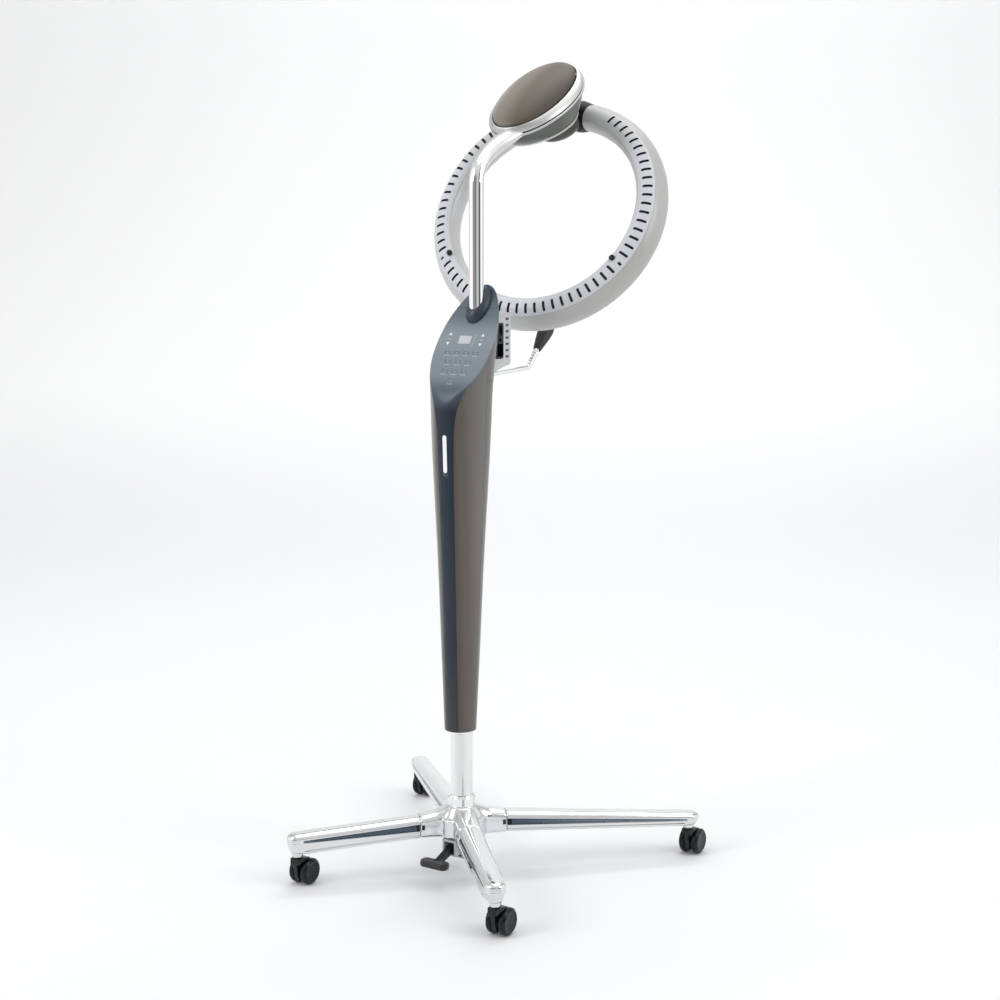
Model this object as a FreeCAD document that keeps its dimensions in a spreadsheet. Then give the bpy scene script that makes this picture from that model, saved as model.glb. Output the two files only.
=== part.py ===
import FreeCAD, Part
import math
import os
from FreeCAD import Vector, Rotation, Placement

# ---------------------------------------------------------------------------
# Ring-type hair colour processor on a four-leg caster base.
# Millimetres, +Z up. Origin: column axis at floor level. The operator's
# control face looks towards -Y, the ring hangs on the +Y side.
# ---------------------------------------------------------------------------
doc = FreeCAD.newDocument("HairColorProcessor")
sheet = doc.addObject("Spreadsheet::Sheet", "Dims")
D = {}
_row = [1]


def dim(alias, value):
    """One driving dimension: a plain number in the sheet with an alias."""
    r = _row[0]
    sheet.set("A%d" % r, alias)
    sheet.set("B%d" % r, repr(float(value)))
    sheet.setAlias("B%d" % r, alias)
    D[alias] = float(value)
    _row[0] = r + 1


class Q:
    """A length with its value and its spreadsheet expression."""

    def __init__(self, text, val):
        self.text, self.val = text, float(val)

    def __add__(self, o):
        o = q(o)
        return Q("(%s + %s)" % (self.text, o.text), self.val + o.val)

    def __radd__(self, o):
        return q(o) + self

    def __sub__(self, o):
        o = q(o)
        return Q("(%s - %s)" % (self.text, o.text), self.val - o.val)

    def __rsub__(self, o):
        return q(o) - self

    def __mul__(self, o):
        o = q(o)
        return Q("(%s * %s)" % (self.text, o.text), self.val * o.val)

    def __rmul__(self, o):
        return q(o) * self

    def __truediv__(self, o):
        o = q(o)
        return Q("(%s / %s)" % (self.text, o.text), self.val / o.val)

    def __neg__(self):
        return Q("(0 - %s)" % self.text, -self.val)


def q(o):
    if isinstance(o, Q):
        return o
    if isinstance(o, str):
        return Q("Dims." + o, D[o])
    return Q(("%.6f" % o), o)


for k, v in [
    # base
    ("stem_front_x", 221.5), ("stem_front_y", 225.3), ("stem_rear_x", 325.0), ("stem_rear_y", 318.0),
    ("leg_root", 84.0), ("leg_half", 22.0), ("leg_tip_half", 19.5), ("leg_wall", 3.0),
    ("hub_rad", 50.0), ("hub_low", 82.0), ("hub_high", 120.0), ("hub_top", 141.0),
    ("tube_rad", 21.5), ("tube_bore", 18.5), ("tube_low", 98.0), ("tube_high", 630.0),
    ("collar_rad", 27.0), ("collar_low", 138.0), ("collar_high", 154.0),
    ("spring_rad", 14.0), ("spring_low", 78.0), ("spring_high", 430.0), ("rod_rad", 5.0),
    # casters
    ("wheel_rad", 25.0), ("wheel_wide", 14.0), ("wheel_off", 13.5), ("wheel_trail", 20.0),
    ("axle_rad", 3.0), ("stem_rad", 5.0), ("hood_top", 55.5),
    # pedal
    ("pivot_y", 30.0), ("pivot_z", 62.0), ("foot_y", 92.0), ("foot_z", 45.0), ("pin_rad", 3.0),
    # column casing
    ("skin", 2.4), ("casing_low", 287.0), ("split_gap", 0.5), ("rear_split", 949.5),
    ("panel_y", 90.0), ("panel_z", 1122.0), ("panel_slope", 54.5), ("plate", 3.0),
    ("bush_rad", 23.7), ("bush_low", 280.0),
    # pole
    ("pole_y", 54.5), ("pole_rad", 14.0), ("pole_bore", 11.5), ("pole_low", 1012.0), ("pole_bend", 1296.0),
    # head
    ("head_y", 261.0), ("head_z", 1476.0), ("head_tilt", 34.0),
    ("cap_long", 116.3), ("cap_wide", 71.0), ("rim_long", 124.0), ("rim_wide", 88.0), ("rim_thick", 20.0),
    ("dish_rad", 79.0), ("dish_off", 19.0), ("dish_low", 46.0),
    ("spin_off", 42.0), ("drum_rad", 43.0), ("drum_low", 104.0),
    # ring
    ("ring_y", 307.6), ("ring_z", 1255.4), ("ring_rad", 217.0), ("ring_tilt", 26.7), ("ring_yaw", 6.5),
    ("oval_long", 35.6), ("oval_short", 26.4), ("oval_wall", 2.5),
    ("hub_half_angle", 8.6), ("shell_half_angle", 13.8),
    ("slot_long", 20.0), ("slot_wide", 5.4), ("slot_start", 59.5), ("slot_pitch", 4.87),
    # rear box
    ("box_half", 35.0), ("box_rear", 117.5), ("box_low", 973.0), ("box_high", 1070.0),
]:
    dim(k, v)
doc.recompute()

NODES = []          # (object, node name)


def bind(obj, prop, e):
    """Bind one property to the sheet."""
    e = q(e)
    obj.setExpression(prop, e.text)
    return obj


def place(obj, pos=(0, 0, 0), rot=None, base=None):
    """Placement from three lengths; numeric rotation, optional parent frame."""
    px = [q(c) for c in pos]
    pl = Placement(Vector(*[c.val for c in px]), rot or Rotation())
    if base is not None:
        obj.Placement = base * pl
        return obj
    obj.Placement = pl
    for ax, c in zip("xyz", px):
        if "Dims" in c.text:
            obj.setExpression("Placement.Base." + ax, c.text)
    return obj


def cyl(name, r, h, pos=(0, 0, 0), rot=None, base=None):
    o = doc.addObject("Part::Cylinder", name)
    bind(o, "Radius", r)
    bind(o, "Height", h)
    return place(o, pos, rot, base)


def cone(name, r1, r2, h, pos=(0, 0, 0), rot=None, base=None):
    o = doc.addObject("Part::Cone", name)
    bind(o, "Radius1", r1)
    bind(o, "Radius2", r2)
    bind(o, "Height", h)
    return place(o, pos, rot, base)


def box(name, size, pos=(0, 0, 0), rot=None, base=None):
    o = doc.addObject("Part::Box", name)
    for p, e in zip(("Length", "Width", "Height"), size):
        bind(o, p, e)
    return place(o, pos, rot, base)


def torus(name, r1, r2, pos=(0, 0, 0), rot=None, base=None):
    o = doc.addObject("Part::Torus", name)
    bind(o, "Radius1", r1)
    bind(o, "Radius2", r2)
    return place(o, pos, rot, base)


def cut(name, a, b):
    o = doc.addObject("Part::Cut", name)
    o.Base, o.Tool = a, b
    return o


def fuse(name, parts):
    o = doc.addObject("Part::MultiFuse", name)
    o.Shapes = parts
    return o


def common(name, parts):
    o = doc.addObject("Part::MultiCommon", name)
    o.Shapes = parts
    return o


def circle(name, r, pos, rot=None):
    o = doc.addObject("Part::Circle", name)
    bind(o, "Radius", r)
    return place(o, pos, rot)


def ellipse(name, a, b, pos=(0, 0, 0), rot=None, base=None):
    o = doc.addObject("Part::Ellipse", name)
    bind(o, "MajorRadius", a)
    bind(o, "MinorRadius", b)
    return place(o, pos, rot, base)


def loft(name, sections, ruled=False):
    o = doc.addObject("Part::Loft", name)
    o.Sections = sections
    o.Solid = True
    o.Ruled = ruled
    return o


def extrude(name, src, direction, length, both=False):
    o = doc.addObject("Part::Extrusion", name)
    o.Base = src
    o.DirMode = "Custom"
    o.Dir = direction
    o.Solid = True
    o.Symmetric = both
    bind(o, "LengthFwd", length)
    return o


def sheet_poly(name, pts, rot=None, pos=(0, 0, 0), base=None):
    """A free sketch: closed polygon, each corner tied to the sheet."""
    s = doc.addObject("Sketcher::SketchObject", name)
    poly(s, pts)
    return place(s, pos, rot, base)


def poly(s, pts):
    P = [(q(x), q(y)) for x, y in pts]
    n = len(P)
    for i in range(n):
        a, b = P[i], P[(i + 1) % n]
        s.addGeometry(Part.LineSegment(Vector(a[0].val, a[1].val, 0), Vector(b[0].val, b[1].val, 0)), False)
    import Sketcher
    for i in range(n):
        s.addConstraint(Sketcher.Constraint("Coincident", i, 2, (i + 1) % n, 1))
    for i in range(n):
        for kind, c in (("DistanceX", P[i][0]), ("DistanceY", P[i][1])):
            k = s.addConstraint(Sketcher.Constraint(kind, -1, 1, i, 1, c.val))
            if "Dims" in c.text:
                s.setExpression("Constraints[%d]" % k, c.text)
    return s


def circ(s, x, y, r):
    import Sketcher
    x, y, r = q(x), q(y), q(r)
    g = s.addGeometry(Part.Circle(Vector(x.val, y.val, 0), Vector(0, 0, 1), r.val), False)
    k = s.addConstraint(Sketcher.Constraint("Radius", g, r.val))
    if "Dims" in r.text:
        s.setExpression("Constraints[%d]" % k, r.text)
    if abs(x.val) < 1e-9 and abs(y.val) < 1e-9:
        s.addConstraint(Sketcher.Constraint("Coincident", g, 3, -1, 1))
    else:
        for kind, c in (("DistanceX", x), ("DistanceY", y)):
            k = s.addConstraint(Sketcher.Constraint(kind, -1, 1, g, 3, c.val))
            if "Dims" in c.text:
                s.setExpression("Constraints[%d]" % k, c.text)
    return g


def new_body(name):
    return doc.addObject("PartDesign::Body", name)


def body_sketch(b, name, role, off=(0, 0, 0)):
    s = b.newObject("Sketcher::SketchObject", name)
    plane = [f for f in b.Origin.OriginFeatures if f.Role == role][0]
    s.AttachmentSupport = (plane, [""])
    s.MapMode = "FlatFace"
    oz = [q(c) for c in off]
    s.AttachmentOffset = Placement(Vector(*[c.val for c in oz]), Rotation())
    for ax, c in zip("xyz", oz):
        if "Dims" in c.text:
            s.setExpression("AttachmentOffset.Base." + ax, c.text)
    return s


def pad(b, s, length, name, rev=False, mid=False):
    f = b.newObject("PartDesign::Pad", name)
    f.Profile = s
    bind(f, "Length", length)
    f.Reversed = rev
    if mid:
        f.Midplane = True
    s.Visibility = False
    b.Tip = f
    return f


def pocket(b, s, length, name, rev=False, mid=False):
    doc.recompute()
    before = b.Shape.Volume
    f = b.newObject("PartDesign::Pocket", name)
    f.Profile = s
    bind(f, "Length", length)
    f.Reversed = rev
    if mid:
        f.Midplane = True
    b.Tip = f
    doc.recompute()
    if b.Shape.Volume > before - 1e-3:
        f.Reversed = not rev
        doc.recompute()
    if b.Shape.isNull() or b.Shape.Volume > before - 1e-3:
        raise RuntimeError("pocket cuts nothing: %s %s %s" % (name, before, f.State))
    return f


def revolve(b, s, name, axis="V_Axis", angle=360.0):
    f = b.newObject("PartDesign::Revolution", name)
    f.Profile = s
    f.ReferenceAxis = (s, [axis])
    f.Angle = angle
    b.Tip = f
    return f


def node(obj, name, pl=None):
    obj.Label = name
    if pl is not None:
        obj.Placement = pl
    NODES.append((obj, name))
    return obj


def feature(name, shape, pl=None):
    o = doc.addObject("Part::Feature", name)
    o.Shape = shape
    if pl is not None:
        o.Placement = pl
    return o


RX = lambda a: Rotation(Vector(1, 0, 0), a)
RY = lambda a: Rotation(Vector(0, 1, 0), a)
RZ = lambda a: Rotation(Vector(0, 0, 1), a)
XZ = RX(90)          # local x -> X, local y -> Z, normal -> -Y
YZ = Rotation(Vector(0, 1, 0), Vector(0, 0, 1), Vector(1, 0, 0), "XYZ")

# ===========================================================================
# BASE: four cast legs on a hub, chromed tube with gas spring, foot release
# ===========================================================================
stems = {
    "front_left": (-D["stem_front_x"], -D["stem_front_y"]),
    "front_right": (D["stem_front_x"], -D["stem_front_y"]),
    "rear_left": (-D["stem_rear_x"], D["stem_rear_y"]),
    "rear_right": (D["stem_rear_x"], D["stem_rear_y"]),
}


def leg_section(w, zt, zb, crown, g1, g2, deep):
    """Half-round crown, recessed flute on each side, flange below."""
    w, zt, zb, c, g1, g2, deep = [q(v) for v in (w, zt, zb, crown, g1, g2, deep)]
    right = [(w * 0.42, zt), (w * 0.78, zt - c * 0.30), (w * 0.95, zt - c * 0.66), (w, zt - c), (w, g1), (w - deep, g1 - 1.6), (w - deep, g2 + 1.6), (w, g2),
             (w + 0.8, zb + 3.0), (w - 2.0, zb)]
    left = [(-x, y) for x, y in reversed(right)]
    return left + right


def make_leg(tag):
    sx, sy = stems[tag]
    front = tag.startswith("front")
    L = q("stem_front_x") if front else q("stem_rear_x")
    length = math.hypot(sx, sy)
    az = math.degrees(math.atan2(sy, sx))
    b = new_body("Leg_" + tag)
    zt2 = 105.0 if front else 91.0
    root = leg_section("leg_half", 121.5, 83.0, 12.0, 108.5, 96.0, 4.5)
    tip = leg_section("leg_tip_half", zt2, 66.5, 10.0 if front else 8.0, zt2 - (12.0 if front else 10.5), zt2 - (17.0 if front else 15.0), 2.5)
    s1 = body_sketch(b, "Root_" + tag, "YZ_Plane", (0, 0, "leg_root"))
    poly(s1, root)
    s2 = body_sketch(b, "Tip_" + tag, "YZ_Plane", (0, 0, length))
    poly(s2, tip)
    f = b.newObject("PartDesign::AdditiveLoft", "Beam_" + tag)
    f.Profile = s1
    f.Sections = [s2]
    f.Ruled = True
    b.Tip = f
    # rounded end: half of the end section turned about the caster stem
    s3 = body_sketch(b, "End_" + tag, "XZ_Plane", (0, 0, 0))
    w, zt, c = D["leg_tip_half"], zt2, (10.0 if front else 8.0)
    ex = q(length)
    prof = [(ex, 66.5), (ex + w - 2.0, 66.5), (ex + w + 0.8, 69.5), (ex + w, zt - c - 5.0), (ex + w, zt - c), (ex + w * 0.95, zt - c * 0.66), (ex + w * 0.78, zt - c * 0.30), (ex + w * 0.42, zt), (ex, zt)]
    poly(s3, prof)
    import Sketcher
    ax = s3.addGeometry(Part.LineSegment(Vector(length, 0, 0), Vector(length, 50, 0)), True)
    s3.addConstraint(Sketcher.Constraint("Vertical", ax))
    s3.addConstraint(Sketcher.Constraint("DistanceX", -1, 1, ax, 1, length))
    s3.addConstraint(Sketcher.Constraint("DistanceY", -1, 1, ax, 1, 0.0))
    s3.addConstraint(Sketcher.Constraint("DistanceY", ax, 1, ax, 2, 50.0))
    r = b.newObject("PartDesign::Revolution", "EndCap_" + tag)
    r.Profile = s3
    r.ReferenceAxis = (s3, ["Axis0"])
    r.Angle = 180.0
    r.Midplane = True
    b.Tip = r
    # boss that takes the caster stem
    s4 = body_sketch(b, "Boss_" + tag, "XY_Plane", (0, 0, 58.0))
    circ(s4, length, 0, 11.0)
    p = pad(b, s4, 9.5, "StemBoss_" + tag)
    p.TaperAngle = 10.0
    s5 = body_sketch(b, "Bore_" + tag, "XY_Plane", (0, 0, 57.0))
    circ(s5, length, 0, q("stem_rad") + 0.05)
    pocket(b, s5, 24.0, "StemBore_" + tag, rev=True)
    node(b, "leg_" + tag, Placement(Vector(0, 0, 0), RZ(az)))
    return b


for tag in stems:
    make_leg(tag)

# hub: round core with four stubs, each matching a leg's root section
hub_parts = [
    cyl("HubCore", "hub_rad", q("hub_high") - q("hub_low") - 2.0, (0, 0, "hub_low")),
    cone("HubShoulder", q("hub_rad") - 4.0, q("collar_rad") + 3.0, 20.0, (0, 0, q("hub_high") - 2.0)),
]
for tag, (sx, sy) in stems.items():
    az = math.degrees(math.atan2(sy, sx))
    fr = Placement(Vector(0, 0, 0), RZ(az))
    secs = []
    for i, (x, w, zt, zb, c, g1, g2, dp) in enumerate([
            (24.0, 25.5, 138.0, 82.0, 20.0, 112.0, 96.0, 0.6),
            (52.0, 23.4, 127.5, 82.0, 15.0, 110.5, 96.0, 0.6),
            (83.0, 22.4, 122.0, 82.4, 12.0, 108.8, 96.0, 0.6),
            (84.0, 21.4, 121.0, 83.6, 12.0, 108.4, 96.4, 0.6)]):
        secs.append(sheet_poly("HubSec_%s_%d" % (tag, i), leg_section(w, zt, zb, c, g1, g2, dp), base=fr, rot=YZ, pos=(x, 0, 0)))
    hub_parts.append(loft("Stub_" + tag, secs, ruled=True))
hub_raw = fuse("HubRaw", hub_parts)
hub_bore = cyl("HubBore", q("tube_rad") + 0.05, 90.0, (0, 0, q("tube_low")))
hub_bore2 = cyl("HubBoreLow", q("spring_rad") + 0.02, 40.0, (0, 0, q("hub_low") - 8.0))
node(cut("Hub", hub_raw, fuse("HubBores", [hub_bore, hub_bore2])), "base_hub")

# bezel ring around the tube at the top of the hub
coll = cyl("CollarOuter", "collar_rad", q("collar_high") - q("collar_low"), (0, 0, "collar_low"))
coll_top = cone("CollarBevel", "collar_rad", q("collar_rad") - 3.0, 4.0, (0, 0, "collar_high"))
coll_f = fuse("CollarSolid", [coll, coll_top])
node(cut("Collar", coll_f, cyl("CollarBore", q("tube_rad") + 0.05, 60.0, (0, 0, q("collar_low") - 10.0))), "tube_collar")

# lower chromed tube
tb = new_body("LowerTube")
ts = body_sketch(tb, "LowerTubeSec", "XY_Plane", (0, 0, "tube_low"))
circ(ts, 0, 0, "tube_rad")
circ(ts, 0, 0, "tube_bore")
pad(tb, ts, q("tube_high") - q("tube_low"), "LowerTubePad")
node(tb, "lower_tube")

# gas spring cylinder: closed foot, bored cavity, gland at the top
gs = new_body("GasCylinder")
s = body_sketch(gs, "GasProfile", "XZ_Plane")
R_, lo, hi = q("spring_rad"), q("spring_low"), q("spring_high")
rr = q("rod_rad") + 0.05
poly(s, [(2.6, lo), (R_, lo), (R_, hi), (rr, hi), (rr, hi - 14.0), (R_ - 2.0, hi - 14.0), (R_ - 2.0, lo + 8.0), (2.6, lo + 8.0)])
revolve(gs, s, "GasRev")
node(gs, "gas_spring_cylinder")

# foot release: bracket under the hub, bearing block, pin, torsion spring
br = new_body("PedalBracket")
s = body_sketch(br, "BracketSide", "YZ_Plane")
poly(s, [(-34.0, 82.0), (-30.0, 52.0), (-20.0, 36.0), (24.0, 36.0), (33.0, 52.0), (36.0, 82.0)])
pad(br, s, 38.0, "BracketPad", mid=True)
s = body_sketch(br, "BracketHollow", "YZ_Plane")
poly(s, [(-50.0, 84.0), (-50.0, 40.0), (21.0, 40.0), (30.0, 54.0), (32.0, 84.0)])
pocket(br, s, 30.0, "BracketCavity", mid=True)
node(br, "pedal_bracket")

pv = (0, -D["pivot_y"], D["pivot_z"])
blk = box("BlockBody", (30.0, 18.0, 31.0), (-15.0, -q("pivot_y") - 14.0, q("pivot_z") - 15.0))
blk_slot = box("BlockSlot", (22.4, 40.0, 60.0), (-11.2, -q("pivot_y") - 24.0, q("pivot_z") - 49.0))
blk_pin = cyl("BlockPin", "pin_rad", 29.0, (-14.5, -q("pivot_y"), "pivot_z"), RY(90))
node(fuse("BlockWithPin", [cut("Block", blk, blk_slot), blk_pin]), "pedal_bearing_block")

# lever: hub on the pin, arm forward and down to the pad, toe under the valve
lv = new_body("PedalLever")
s = body_sketch(lv, "LeverSide", "YZ_Plane")
py, pz = -q("pivot_y"), q("pivot_z")
poly(s, [(py - 8.0, pz + 4.0), (py - 4.5, pz + 8.0), (py + 4.0, pz + 8.5), (2.0, pz + 10.3), (7.0, pz + 8.0), (6.0, pz + 5.0), (py + 8.0, pz - 3.0), (py + 3.0, pz - 8.0),
         (-q("foot_y") + 8.0, q("foot_z") - 4.2), (-q("foot_y") - 8.0, q("foot_z") - 4.2), (-q("foot_y") - 8.0, q("foot_z") + 2.0), (-q("foot_y") + 2.0, q("foot_z") + 2.2)])
pad(lv, s, 12.0, "LeverPad", mid=True)
s = body_sketch(lv, "LeverBore", "YZ_Plane")
circ(s, py, pz, q("pin_rad") + 0.06)
pocket(lv, s, 40.0, "LeverBoreCut", mid=True)
node(lv, "pedal_lever")

# foot bar: rounded oblong pad with a slot for the lever's end
fy = -q("foot_y")


def bar_outline(name, g, z):
    pts = [(-21.0, fy - 12.0 + g), (21.0, fy - 12.0 + g), (27.0 - g * 0.6, fy - 9.0 + g * 0.8), (30.0 - g, fy - 3.0), (30.0 - g, fy + 3.0), (27.0 - g * 0.6, fy + 9.0 - g * 0.8), (21.0, fy + 12.0 - g),
           (-21.0, fy + 12.0 - g), (-27.0 + g * 0.6, fy + 9.0 - g * 0.8), (-30.0 + g, fy + 3.0), (-30.0 + g, fy - 3.0), (-27.0 + g * 0.6, fy - 9.0 + g * 0.8)]
    return sheet_poly(name, pts, pos=(0, 0, z))


bar = loft("FootBarLoft", [bar_outline("FootBarS%d" % i, g, q("foot_z") + z) for i, (g, z) in enumerate([(3.2, -6.5), (1.0, -5.2), (0.0, -2.8), (0.0, 2.8), (1.0, 5.2), (3.2, 6.5)])], ruled=True)
bar_slot = box("FootBarSlot", (12.2, 34.1, 6.6), (-6.1, fy - 8.1, q("foot_z") - 4.25))
bar_notch = box("FootBarNotch", (12.2, 26.0, 20.0), (-6.1, fy + 1.4, q("foot_z") - 4.25))
fb = cut("FootBar", bar, fuse("FootBarCuts", [bar_slot, bar_notch]))
node(fb, "pedal_foot_bar")

# torsion spring round the pin, two close coils either side of the lever hub
spr = []
for sx in (-1, 1):
    for k in range(2):
        spr.append(torus("SpringCoil_%s_%d" % ("ab"[sx > 0], k), q("pin_rad") + 1.2, 0.9, (sx * (7.9 + 1.9 * k), -q("pivot_y"), "pivot_z"), RY(90)))
node(fuse("TorsionSpring", spr), "pedal_torsion_spring")

# valve pin in the foot of the gas spring, lifted by the lever's toe
vp = cyl("ValveStem", 2.5, q("spring_low") + 6.0 - (q("pivot_z") + 10.8), (0, 0, q("pivot_z") + 10.8))
node(vp, "valve_pin")

# ===========================================================================
# CASTERS: 50 mm twin wheel, hooded, threaded stem
# ===========================================================================


def make_caster(tag):
    sx, sy = stems[tag]
    org = Placement(Vector(sx, sy, 0), Rotation())
    T, Rw = q("wheel_trail"), q("wheel_rad")
    # hood: arched web between the wheels, wedge-shaped top, stem
    b = new_body("Hood_" + tag)
    s = body_sketch(b, "HoodSide_" + tag, "YZ_Plane")
    poly(s, [(-9.0, 55.2), (9.0, 55.2), (T + 4.0, 50.5), (T + 15.0, 44.5), (T + 21.5, 36.0), (T + 18.5, 34.5), (T + 9.0, 41.0), (T + 4.0, 30.0), (T + 4.0, 21.0), (T - 5.0, 19.0), (T - 8.0, 24.0),
             (T - 15.0, 9.5), (T - 20.0, 9.5), (T - 25.5, 20.0), (-7.0, 32.0), (-10.5, 46.0)])
    pad(b, s, 9.0, "HoodWeb_" + tag, mid=True)
    s = body_sketch(b, "HoodTop_" + tag, "YZ_Plane")
    poly(s, [(-9.5, 55.2), (9.0, 55.2), (T + 3.0, 51.6), (T + 1.0, 50.9), (T - 8.0, 50.8), (-10.0, 44.0)])
    pad(b, s, 30.0, "HoodCrown_" + tag, mid=True)
    s = body_sketch(b, "HoodCrownTrim_" + tag, "XY_Plane", (0, 0, 40.0))
    poly(s, [(9.0, -20.0), (9.5, -9.0), (13.0, 12.0), (12.0, 26.0), (20.0, 26.0), (20.0, -20.0)])
    pocket(b, s, 20.0, "HoodTrimR_" + tag, rev=True)
    s = body_sketch(b, "HoodCrownTrimL_" + tag, "XY_Plane", (0, 0, 40.0))
    poly(s, [(-9.0, -20.0), (-20.0, -20.0), (-20.0, 26.0), (-12.0, 26.0), (-13.0, 12.0), (-9.5, -9.0)])
    pocket(b, s, 20.0, "HoodTrimL_" + tag, rev=True)
    # round room for the wheels under the crown
    s = body_sketch(b, "WheelRoom_" + tag, "YZ_Plane")
    circ(s, T, Rw, Rw + 1.2)
    p = b.newObject("PartDesign::Pocket", "WheelRoomCutR_" + tag)
    p.Profile = s
    p.Type = "Length"
    p.Length = 30.0
    b.Tip = p
    doc.recompute()
    # the room starts outside the web
    s.AttachmentOffset = Placement(Vector(0, 0, 5.2), Rotation())
    p.Reversed = True
    doc.recompute()
    s2 = body_sketch(b, "WheelRoomL_" + tag, "YZ_Plane", (0, 0, -5.2))
    circ(s2, T, Rw, Rw + 1.2)
    p2 = b.newObject("PartDesign::Pocket", "WheelRoomCutL_" + tag)
    p2.Profile = s2
    p2.Type = "Length"
    p2.Length = 30.0
    b.Tip = p2
    doc.recompute()
    s = body_sketch(b, "Stem_" + tag, "XY_Plane", (0, 0, 55.0))
    circ(s, 0, 0, "stem_rad")
    pad(b, s, 24.0, "StemPad_" + tag)
    s = body_sketch(b, "StemFlange_" + tag, "XY_Plane", (0, 0, 55.0))
    circ(s, 0, 0, 8.5)
    pad(b, s, 2.6, "StemFlangePad_" + tag)
    s = body_sketch(b, "AxleBore_" + tag, "YZ_Plane")
    circ(s, T, Rw, q("axle_rad") - 1.0)
    pocket(b, s, 60.0, "AxleBoreCut_" + tag, mid=True)
    b.Placement = org
    ax = cyl("Axle_" + tag, "axle_rad", 30.0, base=org, pos=(-15.0, D["wheel_trail"], D["wheel_rad"]), rot=RY(90))
    node(fuse("HoodAxle_" + tag, [b, ax]), "caster_hood_" + tag)
    # wheels: dished outer face, tyre band with rounded edges, hub bore
    ws = []
    for side in (-1, 1):
        w = new_body("Wheel_%s_%s" % (tag, "l" if side < 0 else "r"))
        s = body_sketch(w, "WheelProfile_%s_%d" % (tag, side), "XZ_Plane")
        wi, wo = q("wheel_off") - q("wheel_wide") / 2.0 - 0.6, q("wheel_off") + q("wheel_wide") / 2.0
        rb = q("axle_rad") + 0.06
        pts = [(wi, rb), (wi, 11.0), (wi + 3.5, 11.0), (wi + 3.5, Rw - 5.0), (wi, Rw - 5.0), (wi, Rw - 1.5), (wi + 1.5, Rw), (wo - 5.0, Rw), (wo - 2.4, Rw - 1.2), (wo - 0.9, Rw - 3.2), (wo - 0.2, Rw - 6.0),
               (wo, Rw - 9.0), (wo, 6.5), (wo - 0.8, 6.0), (wo - 0.8, rb)]
        if side < 0:
            pts = [(-a, c) for a, c in pts]
        poly(s, pts)
        revolve(w, s, "WheelRev_%s_%d" % (tag, side), axis="H_Axis")
        w.Placement = org * Placement(Vector(0, D["wheel_trail"], D["wheel_rad"]), Rotation())
        ws.append(w)
    doc.recompute()
    pair = doc.addObject("Part::Compound", "WheelPair_" + tag)
    pair.Links = ws
    node(pair, "caster_wheels_" + tag)


for tag in stems:
    make_caster(tag)

# ===========================================================================
# COLUMN CASING: tapered round shells, front fascia, slanted control face
# ===========================================================================
# stations: height, radius, centre y, evenly spaced in each run
LOW = [(287.00, 30.20, -4.00), (353.25, 32.97, -3.04), (419.50, 35.69, -2.20), (485.75, 38.30, -1.51), (552.00, 40.82, -0.92), (618.25, 43.63, -0.31), (684.50, 46.99, 0.36), (750.75, 50.51, 1.06), (817.00, 53.80, 1.82), (883.25, 56.42, 2.72), (949.50, 58.94, 4.54)]
TOP = [(949.50, 58.94, 4.54), (967.95, 59.72, 5.45), (986.40, 60.74, 7.15), (1004.85, 61.35, 9.52), (1023.30, 61.44, 12.30), (1041.75, 60.89, 16.45), (1060.20, 58.38, 23.61), (1078.65, 52.57, 34.36), (1097.10, 42.92, 47.89), (1115.55, 28.52, 63.30), (1134.00, 8.00, 83.60)]
for tag_, run in (("low", LOW), ("top", TOP)):
    for i, (z, r, y) in enumerate(run):
        dim("cas_%s_z%s" % (tag_, "abcdefghijk"[i]), z)
        dim("cas_%s_r%s" % (tag_, "abcdefghijk"[i]), r)
        dim("cas_%s_y%s" % (tag_, "abcdefghijk"[i]), y)
doc.recompute()


def casing_solid(name, inset, low_extra=0.0, turn=47.0):
    runs = []
    for tag_, run in (("low", LOW), ("top", TOP)):
        secs = []
        for i in range(len(run)):
            c = "abcdefghijk"[i]
            z = q("cas_%s_z%s" % (tag_, c))
            if i == 0 and tag_ == "low":
                z = z - low_extra
            if run[i][1] - inset < 3.0:
                continue
            secs.append(circle("%s_%s_%s" % (name, tag_, c), q("cas_%s_r%s" % (tag_, c)) - inset, (0, q("cas_%s_y%s" % (tag_, c)), z), RZ(turn)))
        runs.append(loft(name + "_" + tag_, secs))
    return fuse(name, runs)


outer = casing_solid("CasingOuter", 0.0)
inner = casing_solid("CasingInner", D["skin"], 1.0)


def panel_tool(name, drop, chin):
    """Everything in front of and above the control face, lowered by drop."""
    m = math.tan(math.radians(D["panel_slope"]))
    cs, sn = math.cos(math.radians(D["panel_slope"])), math.sin(math.radians(D["panel_slope"]))
    oy, oz = sn * drop, -cs * drop          # shift along the face's inward normal
    y0, z0 = D["panel_y"] + oy, D["panel_z"] + oz
    fy = -54.3 + (drop if drop > 0 else 0)   # front line of the fascia at the chin
    # arc between the vertical front and the slope
    yk, zk = fy, z0 + m * (fy - y0)
    half = math.radians(90 - D["panel_slope"]) / 2
    tl = chin * math.tan(half)
    a = Vector(0, yk, zk - tl)
    e = Vector(0, yk + tl * cs, zk + tl * sn)
    cen = Vector(0, yk + chin, zk - tl)
    ang = math.radians(90 - D["panel_slope"]) / 2
    mid = cen + Vector(0, -chin * math.cos(ang), chin * math.sin(ang))
    far = Vector(0, y0 + 60.0, z0 + 60.0 * m)
    pts_l = [Vector(0, -160, a.z), a]
    edges = [Part.LineSegment(pts_l[0], pts_l[1]).toShape(), Part.Arc(a, mid, e).toShape(), Part.LineSegment(e, far).toShape(),
             Part.LineSegment(far, Vector(0, -160, far.z)).toShape(), Part.LineSegment(Vector(0, -160, far.z), pts_l[0]).toShape()]
    f = Part.Face(Part.Wire(edges))
    f.translate(Vector(-120, 0, 0))
    return feature(name, f.extrude(Vector(240, 0, 0)))


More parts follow.
